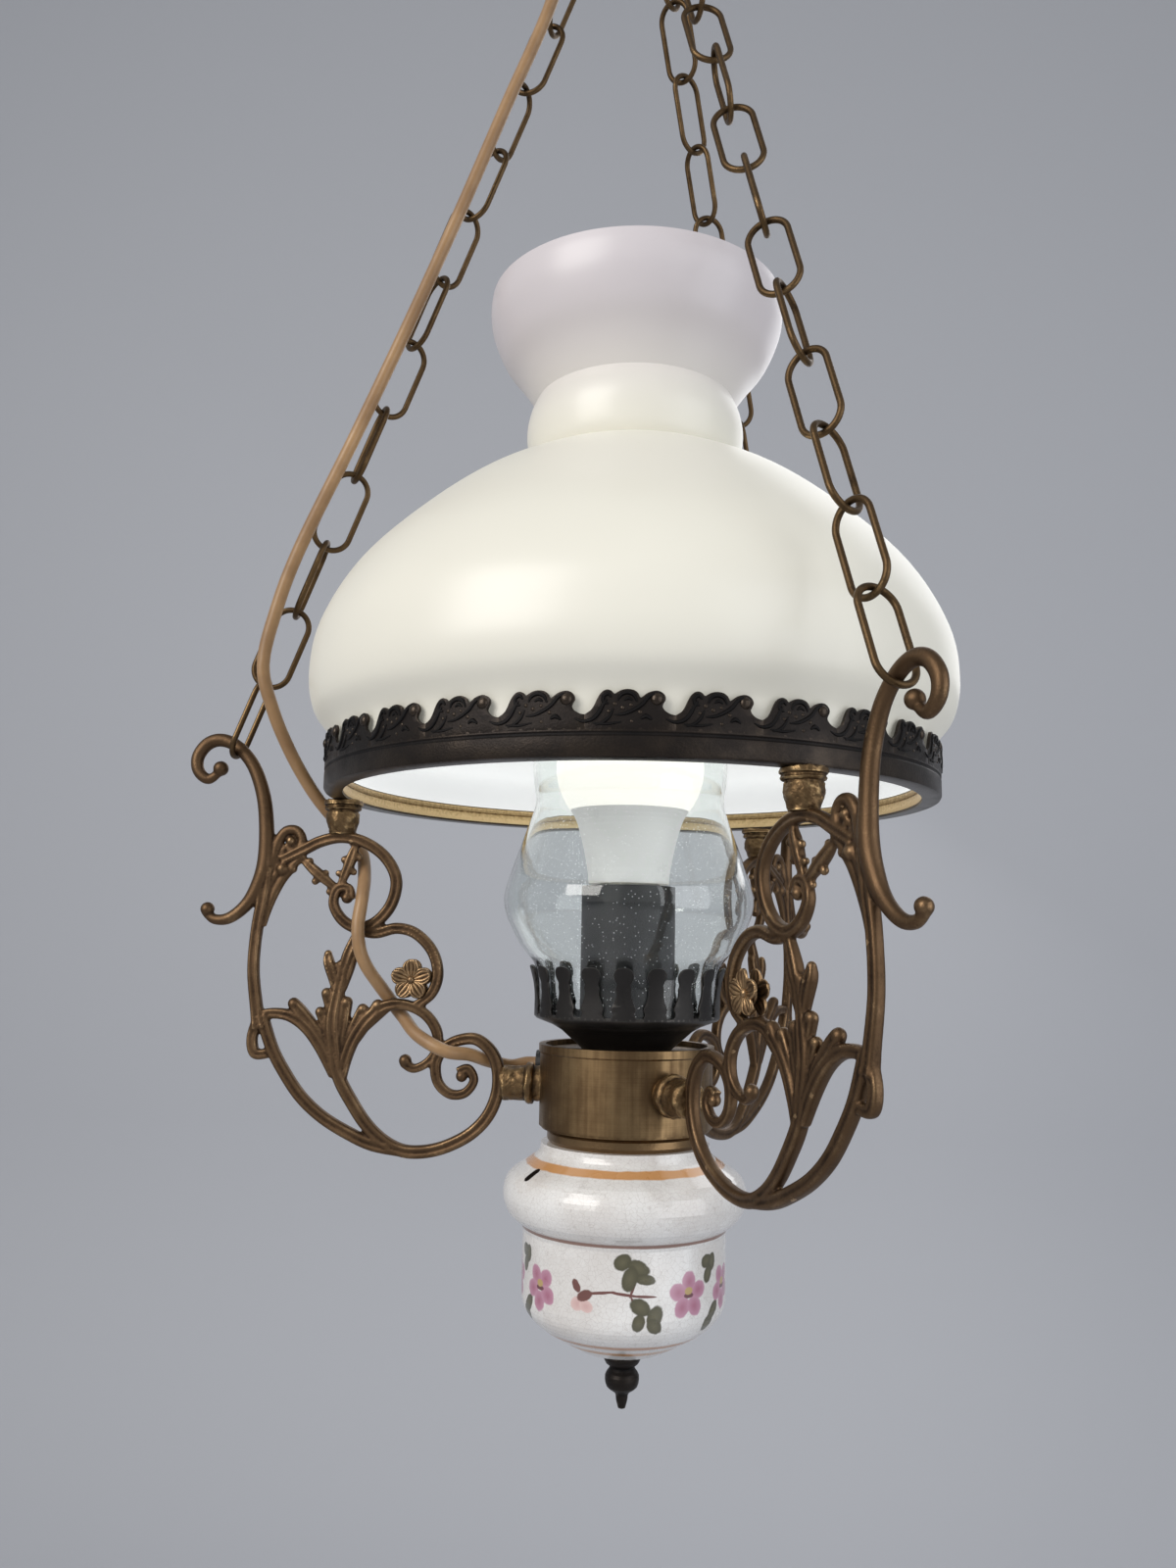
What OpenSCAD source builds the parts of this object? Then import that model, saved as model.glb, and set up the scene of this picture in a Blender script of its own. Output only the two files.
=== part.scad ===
// Hanging oil-lamp pendant with an opal glass shade, cast scroll arms and a painted ceramic font.
// Millimetres, +Z up. The origin is the middle of the ceiling face, and the lamp hangs below it.

/* [Ceiling fitting] */
// Radius of the canopy where it meets the ceiling
canopy_r = 48; // [44:1:70]
// Height of the canopy
canopy_h = 32; // [28:1:50]
// Radius of the flat bottom of the canopy
canopy_flat_r = 28; // [26:1:34]
// Wall of the canopy
canopy_wall = 1.2; // [0.8:0.1:2]
// Distance between the two ceiling screw holes
screw_pitch = 56; // [50:1:64]
// Radius of a ceiling screw hole
screw_hole_r = 2.25; // [1.5:0.25:3]
// Thickness of the ceiling bracket
bracket_t = 2; // [1.5:0.5:4]
// Width of the ceiling bracket
bracket_w = 20; // [16:1:26]
// Radius of the hook's shank
shank_r = 3; // [2.5:0.25:4]
// From the canopy's bottom to the middle of the hook's bend
hook_drop = 24; // [20:1:60]
// Radius of the hook's bend, at the middle of its wire
hook_bend_r = 9; // [8:0.5:12]
// Radius of the hook's wire
hook_wire_r = 2.5; // [2:0.25:3]
// Radius of the suspension ring, at the middle of its wire
loop_r = 12; // [11:0.5:16]
// Radius of the suspension ring's wire
loop_wire_r = 2; // [1.5:0.25:2.5]

/* [Chains] */
// Radius of the plate that gathers the chains
crown_r = 18; // [17:0.5:24]
// Thickness of the gathering plate
crown_t = 3; // [2:0.5:4]
// Number of links in each chain
links = 13; // [9:1:17]
// Outer length of a link
link_len = 37; // [33:0.5:42]
// Outer width of a link
link_w = 17.5; // [16:0.5:20]
// Radius of a link's wire
link_wire_r = 1.2; // [1:0.1:1.4]

/* [Shade ring] */
// Outer radius of the shade ring
ring_r = 122; // [118:0.5:124]
// Wall of the shade ring
ring_wall = 1.4; // [1:0.1:2]
// Height of the shade ring up to its crest
ring_h = 21.5; // [18:0.5:24]
// Width of the lip that carries the shade, from the ring's outside
lip_w = 7.5; // [7:0.5:10]
// Thickness of the lip
lip_t = 2.5; // [2:0.25:3]
// Height of the upright rim on the lip, where the shade stands
seat_h = 7.5; // [6:0.5:9]
// Number of scroll motifs in the crest
motifs = 27; // [20:1:30]

/* [Shade] */
// Gap round the shade's rim inside the ring
shade_play = 3.6; // [2:0.2:4]
// Largest radius of the shade
shade_belly_r = 129.5; // [125:0.5:132]
// Height of the largest radius above the ring's bottom
shade_belly_z = 46; // [42:1:50]
// Radius of the crease under the shade's neck
shade_crease_r = 42.5; // [41:0.5:48]
// Height of that crease
shade_crease_z = 139; // [132:1:150]
// Largest radius of the shade's neck
shade_neck_r = 45.5; // [45:0.5:50]
// Height of the neck's upper crease
shade_collar_z = 169; // [166:1:180]
// Radius of the shade's flared mouth
shade_mouth_r = 62; // [56:0.5:66]
// Height of the shade's top
shade_top_z = 214; // [205:1:230]
// Wall of the shade
shade_wall = 3; // [2:0.25:4]

/* [Chimney] */
// Radius of the chimney's base
chimney_base_r = 35.2; // [33:0.2:36]
// Radius of the chimney's bulge
chimney_bulge_r = 50; // [46:0.5:54]
// Radius of the chimney's waist above the bulge
chimney_waist_r = 38.2; // [37:0.2:40]
// Radius of the chimney's tube
chimney_tube_r = 39.6; // [37:0.2:40]
// Height of the chimney's top above the ring's bottom
chimney_top_z = 108; // [90:1:112]
// Wall of the chimney
chimney_wall = 1.6; // [1.2:0.1:2]

/* [Gallery and lampholder] */
// Number of prongs round the gallery
prongs = 19; // [15:1:21]
// Height of the prongs above the gallery's floor
prong_h = 23; // [20:0.5:26]
// Wall of the gallery
gallery_wall = 1; // [0.8:0.1:1.4]
// Depth of the gallery's floor below the ring's bottom
gallery_z = 87.5; // [85:0.5:90]
// Radius of the lampholder's sleeve
holder_r = 18.8; // [18.4:0.2:21]
// Height of the lampholder
holder_h = 53.5; // [50:0.5:56]
// Radius of the lampholder's thread
thread_r = 13.5; // [13.3:0.1:13.8]

/* [Bulb] */
// Largest radius of the bulb's diffuser
bulb_r = 30; // [27:0.5:31]
// Radius of the bulb's body where it meets the diffuser
bulb_seam_r = 24; // [22:0.5:25]
// Radius of the bulb's body at its foot
bulb_foot_r = 16.2; // [15:0.2:17]
// Height of the bulb's body
bulb_body_h = 29.5; // [26:0.5:34]
// Length of the bulb's cap
cap_len = 25; // [24:0.5:26]

/* [Collar] */
// Radius of the collar
collar_r = 34; // [33:0.5:36]
// Height of the collar
collar_h = 32; // [30:0.5:36]
// Wall of the collar
collar_wall = 2; // [1.5:0.25:2.5]
// Height of the cone between the collar and the gallery
cone_h = 9.5; // [8:0.5:14]
// Radius of the threaded rod
rod_r = 4; // [3.5:0.25:4.5]

/* [Font] */
// Height of the neck ring between the collar and the font
neck_ring_h = 5.5; // [4:0.5:12]
// Radius of the neck ring
neck_ring_r = 30.7; // [29:0.5:32]
// Radius of the font's top
font_top_r = 33; // [32:0.5:35]
// Largest radius of the font's shoulder
font_shoulder_r = 47.3; // [45:0.5:50]
// Radius of the font's body
font_body_r = 39.3; // [37:0.5:41]
// Height of the font
font_h = 75.5; // [70:0.5:84]
// Wall of the font
font_wall = 4; // [3:0.5:5]
// Radius of the font's foot
font_foot_r = 18; // [16:0.5:22]
// Length of the finial
finial_h = 21.5; // [19:0.5:30]
// Largest radius of the finial
finial_r = 7.3; // [7:0.1:9]

/* [Arms] */
// Radius of the ferrule that meets the collar
boss_r = 7; // [6.5:0.25:9]
// Radius of the post under the shade ring
post_r = 7.4; // [7:0.1:8]
// Height of the post under the shade ring
post_h = 14; // [13:0.5:15]
// Radius of the flex
flex_r = 2.7; // [2:0.1:2.8]

/* [Hidden] */
$fn = 72;

// Clearances
slip = 0.05;      // a piece on its rod, screw or seat bore
loose = 0.3;      // a piece that lifts off its seat
swing_gap = 0.5;  // wires that hang in each other
link_gap = 0.2;   // one link in the next
cut_past = 1;     // a cut past the face it goes through

// The ring's inside, its lip, and the rim of the shade that stands on it
ring_in = ring_r - ring_wall;
lip_r = ring_r - lip_w;
shade_rim_r = ring_in - shade_play;

// Directions of the three arms about the axis
arm_az = [180, -60, 60];

// Heights from the ceiling down to the plate that gathers the chains
hook_z = -(canopy_h + hook_drop);
loop_z = hook_z - hook_bend_r + hook_wire_r + loop_wire_r + swing_gap - loop_r;
eye_r = 7;
eye_wire_r = 2;
eye_z = loop_z - loop_r + loop_wire_r + eye_wire_r + swing_gap - eye_r;
crown_neck = 8;
crown_z = eye_z - eye_r - crown_neck;
crown_rim = 1.4;
crown_rim_r = crown_r - crown_rim / 2;
crown_hole_r = 4.1;

// A chain from an arm's hook to the gathering plate, in the plane of its arm
hook_clear = 34.5;
hook_at = [shade_belly_r + hook_clear, 22];
hook_half = 2.6;
link_pitch = link_len - 4 * link_wire_r - link_gap;
low_seat = link_wire_r + hook_half + link_gap;
high_seat = link_wire_r + crown_t / 2 + link_gap;
chain_span = (links - 1) * link_pitch + link_len - 2 * link_wire_r - low_seat - high_seat;
chain_reach = hook_at[0] - crown_rim_r;
chain_drop = sqrt(chain_span * chain_span - chain_reach * chain_reach);
chain_tilt = asin(chain_reach / chain_span);
// Each link lies across the last, and the chain takes a quarter turn of twist on the way up
link_turn = 90 + 90 / (links - 1);

// Height of the shade ring's bottom: the lamp's own pieces are measured from it
lamp_z = crown_z - chain_drop - hook_at[1];

// The stack along the rod, measured from the ring's bottom
floor_t = 1;
slope_h = 3;
floor_z = -gallery_z;
cone_z = floor_z - floor_t - cone_h;
cap_t = 1.5;
cap_sink = 2;
collar_top = cone_z + cap_sink;
collar_low = collar_top - collar_h;
ledge_w = 1.5;
font_top = collar_low - neck_ring_h;
font_low = font_top - font_h;
washer_t = 2;
finial_top = font_low - washer_t;
nut_h = 4;
nut_r = 6.3;
holder_base_t = 3;
holder_wall = 1.8;
rod_top = floor_z + holder_base_t + nut_h;
rod_sink = 4.8;
lead_hole = [-9.5, 0];
lead_hole_r = 2.6;

// The lampholder and the bulb
holder_top = floor_z + holder_h;
insulator_low = rod_top;
insulator_top = holder_top - 2;
insulator_r = holder_r - holder_wall - slip;
shell_wall = 0.7;
bulb_gap = 1;
bulb_low = holder_top + bulb_gap;
bulb_seam_z = bulb_low + bulb_body_h;
pip_h = 2;
contact_t = 1.6;
socket_z = bulb_low - cap_len - pip_h - contact_t - loose;
diffuser_wall = 1.2;

// Arm screws, ring screws and the post
arm_screw_r = 2.5;
arm_screw_len = 12;
boss_z = collar_top - 16;
arm_in = 49.5;
boss_len = arm_in - collar_r;
post_at = (ring_r + lip_r) / 2;
ring_screw_r = 1.6;
ring_screw_head_r = 3;
ring_screw_head_h = 1.6;
ring_screw_len = 11;

// Where the flex goes into the canopy and into the collar
flex_top_at = [-18, 0];
flex_side = 13;
flex_in_z = collar_top - 9.5;
bush_wall = 1.5;
bush_out = 3;

// Smooth curve through a list of points, with steps pieces between each pair
function bend(a, b, c, d, t) =
  0.5 * (2 * b + (c - a) * t + (2 * a - 5 * b + 4 * c - d) * t * t + (3 * b - a - 3 * c + d) * t * t * t);
function smooth(p, steps) = let (n = len(p) - 1) concat(
  [for (i = [0:n - 1], k = [0:steps - 1])
    bend(p[max(i - 1, 0)], p[i], p[i + 1], p[min(i + 2, n)], k / steps)],
  [p[n]]);
function unit(v) = v / norm(v);
function heading(p, i) = unit(p[min(i + 1, len(p) - 1)] - p[max(i - 1, 0)]);

// Closed tube of round or oval rings round a path, each ring with its own two half widths
function ring_faces(n, m) = concat(
  [for (i = [0:n - 2], k = [0:m - 1]) [i * m + k, (i + 1) * m + k, i * m + (k + 1) % m]],
  [for (i = [0:n - 2], k = [0:m - 1]) [i * m + (k + 1) % m, (i + 1) * m + k, (i + 1) * m + (k + 1) % m]],
  [[for (k = [0:m - 1]) k], [for (k = [m - 1:-1:0]) (n - 1) * m + k]]);
module tube(path, r, sides) {
  rings = [for (i = [0:len(path) - 1])
    let (t = heading(path, i), u = unit(cross([0, 1, 0], t)), v = cross(t, u))
    for (k = [0:sides - 1]) path[i] + r * (cos(360 * k / sides) * u + sin(360 * k / sides) * v)];
  polyhedron(rings, ring_faces(len(path), sides));
}
// A scroll in the arm's plane: points are [radius from the axis, height, half width]
scroll_flat = 0.9;   // thickness of a scroll as a share of its width
scroll_turn = 17;    // turn of a scroll's section, so that no two scrolls share a face
module scroll(points, steps = 2, sides = 6) {
  p = smooth(points, steps);
  line = [for (q = p) [q[0], 0, q[1]]];
  rings = [for (i = [0:len(p) - 1], k = [0:sides - 1])
    let (u = cross([0, 1, 0], heading(line, i)), a = scroll_turn + 360 * k / sides)
    line[i] + p[i][2] * (cos(a) * u + [0, scroll_flat * sin(a), 0])];
  polyhedron(rings, ring_faces(len(p), sides));
}

// Small shapes that several pieces use
module from_ring() {
  translate([0, 0, lamp_z]) children();
}
module each_arm() {
  for (a = arm_az) rotate(a) children();
}
module torus(r, wire, angle = 360) {
  rotate_extrude(angle = angle) translate([r, 0]) circle(wire, $fn = 32);
}
module pipe(r, hole, h) {
  difference() {
    cylinder(r = r, h = h);
    translate([0, 0, -cut_past]) cylinder(r = hole, h = h + 2 * cut_past);
  }
}
module lead_bore(z, h) {
  translate([lead_hole[0], lead_hole[1], z - cut_past]) cylinder(r = lead_hole_r, h = h + 2 * cut_past);
}

// Ceiling fitting
boss_plate_r = 7;
boss_plate_h = 8;
bracket_end = 8;
module ceiling_bracket() {
  color("silver") difference() {
    union() {
      translate([-screw_pitch / 2 - bracket_end, -bracket_w / 2, -bracket_t])
        cube([screw_pitch + 2 * bracket_end, bracket_w, bracket_t]);
      translate([0, 0, -bracket_t - boss_plate_h]) cylinder(r = boss_plate_r, h = boss_plate_h);
    }
    translate([0, 0, -bracket_t - boss_plate_h - cut_past])
      cylinder(r = shank_r + slip, h = bracket_t + boss_plate_h + 2 * cut_past);
    for (s = [-1, 1]) translate([s * screw_pitch / 2, 0, -bracket_t - cut_past])
      cylinder(r = screw_hole_r, h = bracket_t + 2 * cut_past);
  }
}
canopy_lean = [for (t = [0:0.125:1])
  [canopy_flat_r + (canopy_r - canopy_flat_r) * sin(90 * t), canopy_h * (1 - cos(90 * t))]];
module ceiling_canopy() {
  inner = [for (p = canopy_lean) [p[0] - canopy_wall, max(p[1], canopy_wall)]];
  n = len(inner) - 1;
  color("darkgoldenrod") translate([0, 0, -canopy_h]) difference() {
    rotate_extrude() polygon(concat(
      [[0, 0]], canopy_lean, [for (i = [n:-1:0]) inner[i]], [[0, canopy_wall]]));
    translate([0, 0, -cut_past]) cylinder(r = shank_r + slip, h = canopy_wall + 2 * cut_past);
    translate([flex_top_at[0], flex_top_at[1], -cut_past])
      cylinder(r = flex_r + bush_wall + slip, h = canopy_wall + 2 * cut_past);
  }
}
canopy_nut_h = 5;
canopy_nut_r = 8;
module canopy_nut() {
  color("darkgoldenrod") translate([0, 0, -canopy_h - canopy_nut_h])
    pipe(canopy_nut_r, shank_r + slip, canopy_nut_h);
}
module ceiling_hook() {
  shank_top = -bracket_t;
  shank_low = hook_z + hook_bend_r;
  color("darkgoldenrod") {
    translate([0, 0, shank_low]) cylinder(r = shank_r, h = shank_top - shank_low);
    translate([0, 0, shank_low]) sphere(shank_r);
    translate([0, 0, hook_z]) rotate([90, 0, 0]) rotate(150) torus(hook_bend_r, hook_wire_r, 300);
    translate([0, 0, hook_z]) rotate([0, -150, 0]) translate([hook_bend_r, 0, 0]) sphere(hook_wire_r);
  }
}
bush_lip = 1.2;
bush_in = 3;
module canopy_cord_bush() {
  color("tan") translate([flex_top_at[0], flex_top_at[1], -canopy_h - 2 * bush_lip]) difference() {
    union() {
      cylinder(r = flex_r + bush_wall + bush_lip, h = 2 * bush_lip);
      cylinder(r = flex_r + bush_wall, h = 2 * bush_lip + canopy_wall + bush_in);
    }
    translate([0, 0, -cut_past])
      cylinder(r = flex_r + slip, h = 2 * (bush_lip + cut_past) + canopy_wall + bush_in);
  }
}
block_h = 12;
block_w = 14;
block_screw_r = 1.8;
block_screw_h = 1.2;
module terminal_block() {
  color("ivory") translate([flex_top_at[0] - block_w / 2, -block_w / 2, -bracket_t - block_h])
    cube([block_w, block_w, block_h]);
}
module terminal_screws() {
  color("silver") for (s = [-1, 1])
    translate([flex_top_at[0] + block_w / 2, s * block_w / 4, -bracket_t - block_h / 2])
      rotate([0, 90, 0]) cylinder(r = block_screw_r, h = block_screw_h);
}

// The ring on the hook, and the plate that hangs in it and gathers the three chains
module suspension_ring() {
  color("goldenrod") translate([0, 0, loop_z]) rotate([0, 90, 0]) torus(loop_r, loop_wire_r);
}
crown_stem_r = 3.5;
module chain_crown() {
  color("goldenrod") {
    translate([0, 0, eye_z]) rotate([90, 0, 0]) torus(eye_r, eye_wire_r);
    translate([0, 0, crown_z]) cylinder(r = crown_stem_r, h = crown_neck);
    translate([0, 0, crown_z - crown_t / 2]) difference() {
      cylinder(r = crown_r, h = crown_t);
      each_arm() translate([crown_r - crown_rim - crown_hole_r, 0, -cut_past])
        cylinder(r = crown_hole_r, h = crown_t + 2 * cut_past);
    }
  }
}

// Chains
module link() {
  bend_r = link_w / 2 - link_wire_r;
  leg = link_len - link_w;
  rotate([90, 0, 90]) for (s = [0, 180]) rotate(s) {
    translate([0, leg / 2, 0]) torus(bend_r, link_wire_r, 180);
    translate([bend_r, leg / 2, 0]) rotate([90, 0, 0]) cylinder(r = link_wire_r, h = leg, $fn = 32);
  }
}
module chain(az) {
  start = (link_len - 2 * link_wire_r) / 2 - low_seat;
  color("peru") from_ring() rotate(az) translate([hook_at[0], 0, hook_at[1]]) rotate([0, -chain_tilt, 0])
    for (i = [0:links - 1]) translate([0, 0, start + i * link_pitch]) rotate(i * link_turn) link();
}
module chain_left() { chain(arm_az[0]); }
module chain_front_right() { chain(arm_az[1]); }
module chain_back_right() { chain(arm_az[2]); }

// The scrolls of a cast arm, as [radius from the axis, height above the ring's bottom, half width]
hook_r = hook_at[0];
hook_stem = [
  [hook_r + 7, 12, 1.6], [hook_r + 12, 8.5, 2.2], [hook_r + 16.5, 12, 2.4], [hook_r + 17, 18, 2.5],
  [hook_r + 13, 23.5, 2.6], [hook_r + 7, 25, 2.6], concat(hook_at, hook_half), [hook_r - 7, 14, 2.7],
  [152, 1, 2.9], [150, -14, 3], [150, -27, 3.3],
  [153, -37, 3], [157.5, -44, 2.6], [164, -49, 2.3], [170, -49.5, 2], [174, -46.5, 1.7]];
outer_bow = [
  [149, -28, 3], [150, -40, 2.6], [152, -54, 2.4], [152.5, -70, 2.4], [150, -87, 2.6], [149, -93, 3]];
knuckle = [[149.5, -89, 2.2], [151.5, -97, 2.2], [150, -103, 2.2], [145, -103, 2]];
lower_bow = [
  [148, -88, 2.6], [143, -101, 2.5], [137, -111, 2.5], [130, -120, 2.5], [121, -127.5, 2.5],
  [110, -133.5, 2.6],
  [100, -137.5, 2.6], [88, -139.5, 2.4]];
left_branch = [
  [149, -88, 2.2], [143, -87, 2.2], [136, -88, 2.4], [129, -92.5, 2.6], [123, -100, 2.6], [117, -111, 2.2]];
big_scroll = [
  [121.5, -86, 1.8], [119, -100, 2.2], [115, -112, 2.6], [109, -122, 2.6], [103, -130, 2.6],
  [96, -136, 2.6],
  [88, -139.5, 2.6], [79, -139.5, 2.6], [70, -137, 2.6], [61, -132, 2.6], [54.5, -125, 2.6],
  [51, -116, 2.6],
  [51, -107, 2.6], [54, -100, 2.5], [60, -95.5, 2.4], [67, -96, 2.3], [72.5, -99, 2.2], [76, -105, 2.2],
  [75, -112.5, 2.1], [70, -117, 2], [64, -116.5, 1.9], [60.5, -111.5, 1.8], [63, -107, 1.8],
  [67, -108.5, 2]];
over_branch = [
  [114, -113, 1.8], [112.5, -104, 2.4], [109, -95, 2.6], [103, -87, 2.6], [96, -82.8, 2.4],
  [88, -82.8, 2.2],
  [80.5, -86.5, 2.2], [76, -93, 2.2], [76, -100, 2], [79.5, -105, 1.8], [85, -107.5, 1.8], [89, -105, 2.2]];
upper_loop = [
  [143, -25, 2.2], [134, -20.5, 2.4], [127, -17, 2.4], [118.5, -15.2, 2.4], [109, -17, 2.4],
  [100, -23, 2.4],
  [95, -32, 2.4], [96.5, -42, 2.4], [102.5, -49.5, 2.4], [110, -52, 2.4], [116.5, -49, 2.3],
  [120.5, -42.5, 2.1], [119, -36.5, 1.9], [114.5, -36, 1.8], [113.5, -40.5, 2.2]];
stem_volute = [
  [149, -30, 2.4], [145.5, -25.5, 2.2], [143.6, -19.5, 1.9], [140, -16.6, 1.8], [136.3, -18.2, 1.7],
  [135.6, -21.8, 1.6], [138, -24, 1.5]];
sprig_outer = [[136, -23, 1.6], [128, -30, 2.6], [119, -36.5, 1.6]];
sprig_inner = [[112, -17, 1.6], [114.5, -26, 2.6], [118.5, -36, 1.6]];
middle_loop = [
  [110, -53, 2.2], [102.5, -54, 2.3], [94, -52, 2.3], [86, -54, 2.3], [79, -61, 2.3], [76.5, -70, 2.3],
  [79, -78, 2.2], [86, -83.5, 1.9]];
leaf_stalk = [
  [109.5, -53, 1.8], [113.5, -63, 3], [116, -71, 2.4], [118, -80, 3.2], [119.5, -92, 3.4],
  [116, -108, 2.4]];
leaf_tips = [
  [[115, -71, 2.4], [121.5, -63, 1.4]], [[118, -86, 2.4], [122.5, -73, 1.3]],
  [[123, -95, 2.8], [134, -82.5, 1.8]], [[114, -97, 2.4], [110.5, -81, 1.4]], [[109, -95, 2.4],
  [99, -79.5, 1.4]]];
scroll_ends = [
  [hook_r + 7, 13, 3.2], [173, -45, 2.8], [139.5, -20.3, 2.2], [115, -40, 2.2], [65.5, -110, 2.2],
  [88.5, -104.5, 2.4]];
flower_at = [87, -72.5];
petals = 5;
petal_len = 6.5;
module bead(at) {
  translate([at[0], 0, at[1]]) rotate([23, 31, 0]) sphere(at[2], $fn = 8);
}
module lobe(from, to) {
  hull() {
    bead(from);
    bead(to);
  }
}
module scrolls() {
  for (line = [hook_stem, outer_bow, knuckle, lower_bow, left_branch, big_scroll, over_branch, upper_loop,
    stem_volute, sprig_outer, sprig_inner, middle_loop, leaf_stalk]) scroll(line);
  for (tip = leaf_tips) lobe(tip[0], tip[1]);
  for (end = scroll_ends) hull() bead(end);
  for (k = [0:petals - 1]) let (a = 90 + 360 * k / petals, d = petal_len * [cos(a), sin(a)])
    lobe(concat(flower_at, 2), concat(flower_at + d, 2.8));
}
module arm(az) {
  color("darkgoldenrod") from_ring() rotate(az) difference() {
    scrolls();
    translate([collar_r, 0, boss_z]) rotate([0, 90, 0]) cylinder(r = boss_r + loose, h = boss_len + slip);
    translate([post_at, 0, -post_h - slip]) cylinder(r = post_r + loose, h = post_h);
  }
}
boss_rim = 1;
boss_rim_at = 3;
boss_rim_w = 2.5;
module arm_ferrules() {
  color("#8f6f3a") from_ring() each_arm() translate([0, 0, boss_z]) difference() {
    translate([collar_r, 0, 0]) rotate([0, 90, 0]) union() {
      translate([0, 0, -collar_wall]) cylinder(r = boss_r, h = boss_len + collar_wall);
      translate([0, 0, boss_rim_at]) cylinder(r = boss_r + boss_rim, h = boss_rim_w);
    }
    translate([0, 0, -2 * boss_r]) cylinder(r = collar_r, h = 4 * boss_r);
    translate([collar_r - collar_wall - cut_past, 0, 0]) rotate([0, 90, 0])
      cylinder(r = arm_screw_r + slip, h = arm_screw_len + cut_past);
  }
}
module ring_cups() {
  r = post_r;
  h = post_h;
  color("#8f6f3a") from_ring() each_arm() translate([post_at, 0, 0]) difference() {
    rotate_extrude() polygon([
      [0, -h], [r - 2, -h], [r - 0.8, -h + 4], [r, -h + 9], [r, -3], [r + 0.5, -2.5],
      [r + 0.5, 0], [0, 0]]);
    translate([0, 0, -ring_screw_len]) cylinder(r = ring_screw_r + slip, h = ring_screw_len + 1);
  }
}
module arm_left() { arm(arm_az[0]); }
module arm_front_right() { arm(arm_az[1]); }
module arm_back_right() { arm(arm_az[2]); }

// Fasteners of the arms
arm_screw_head_r = 4.5;
arm_screw_head_h = 3;
arm_screw_seat = collar_r - collar_wall - 0.5;
module arm_screws() {
  color("silver") from_ring() each_arm() translate([0, 0, boss_z]) rotate([0, 90, 0]) {
    translate([0, 0, arm_screw_seat - arm_screw_head_h]) cylinder(r = arm_screw_head_r, h = arm_screw_head_h);
    translate([0, 0, arm_screw_seat]) cylinder(r = arm_screw_r, h = arm_screw_len - collar_wall);
  }
}
module ring_screws() {
  shank = ring_screw_len - ring_screw_head_h - lip_t / 4;
  color("silver") from_ring() each_arm() translate([post_at, 0, lip_t - ring_screw_head_h]) {
    cylinder(r1 = ring_screw_r, r2 = ring_screw_head_r - slip, h = ring_screw_head_h);
    translate([0, 0, -shank]) cylinder(r = ring_screw_r, h = shank);
  }
}

// Shade ring: a lip that carries the shade, and a crest of scroll motifs parted by keyhole notches
notch_r = 2.8;
notch_z = 17.5;
nick_r = 1.7;
module crest_cutter(angle, z, r) {
  rotate(angle) translate([ring_in - cut_past, 0, z]) rotate([0, 90, 0])
    cylinder(r = r, h = ring_wall + 2 * cut_past, $fn = 24);
}
module shade_ring() {
  step = 360 / motifs;
  color("#2b221c") from_ring() difference() {
    rotate_extrude($fn = 180) polygon([
      [lip_r, 0], [ring_r - 0.8, 0], [ring_r, 0.8], [ring_r, ring_h], [ring_in, ring_h],
      [ring_in, lip_t], [lip_r + ring_wall, lip_t], [lip_r + ring_wall, seat_h], [lip_r, seat_h]]);
    for (k = [0:motifs - 1]) {
      crest_cutter(step * k, notch_z, notch_r);
      rotate(step * k) translate([ring_in - cut_past, -notch_r / 2, notch_z])
        cube([ring_wall + 2 * cut_past, notch_r, ring_h]);
      for (s = [0.34, 0.67]) crest_cutter(step * (k + s), ring_h, nick_r);
    }
    each_arm() translate([post_at, 0, -cut_past]) cylinder(r = ring_screw_r + slip, h = lip_t + 2 * cut_past);
    each_arm() translate([post_at, 0, lip_t - ring_screw_head_h])
      cylinder(r1 = ring_screw_r + slip, r2 = ring_screw_head_r, h = ring_screw_head_h);
  }
}

// Collar, neck ring, font and finial
collar_rim = 0.6;
collar_rim_h = 3.5;
module collar_drum() {
  top = collar_top - collar_low;
  seat = top - cap_sink - cap_t;
  in = collar_r - collar_wall;
  color("#a07a3c") from_ring() difference() {
    translate([0, 0, collar_low]) rotate_extrude() polygon([
      [rod_r + slip, 0], [collar_r - 1, 0], [collar_r - 1, 1], [collar_r, 1],
      [collar_r, top - collar_rim_h],
      [collar_r + collar_rim, top - collar_rim_h + collar_rim], [collar_r + collar_rim, top],
      [in, top], [in, seat], [in - ledge_w, seat], [in - ledge_w, seat - 2], [in, seat - 4],
      [in, collar_wall],
      [rod_r + slip, collar_wall]]);
    each_arm() translate([0, 0, boss_z]) rotate([0, 90, 0])
      cylinder(r = arm_screw_r + slip, h = collar_r + cut_past);
    each_arm() translate([0, 0, boss_z]) rotate([0, 90, 0])
      cylinder(r = arm_screw_head_r + loose, h = arm_screw_seat);
    translate([-collar_r - bush_out - cut_past, flex_side, flex_in_z]) rotate([0, 90, 0])
      cylinder(r = flex_r + bush_wall + slip, h = collar_r);
  }
}
module collar_cap() {
  color("#8a6a34") from_ring() translate([0, 0, cone_z - cap_t]) difference() {
    pipe(collar_r - collar_wall - slip, rod_r + slip, cap_t);
    lead_bore(0, cap_t);
  }
}
module neck_ring() {
  color("#6b4a2a") from_ring() translate([0, 0, font_top]) rotate_extrude() polygon([
    [rod_r + slip, 0], [neck_ring_r - 1, 0], [neck_ring_r, 1.5], [neck_ring_r, neck_ring_h - 1.5],
    [neck_ring_r - 1, neck_ring_h], [rod_r + slip, neck_ring_h]]);
}
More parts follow.
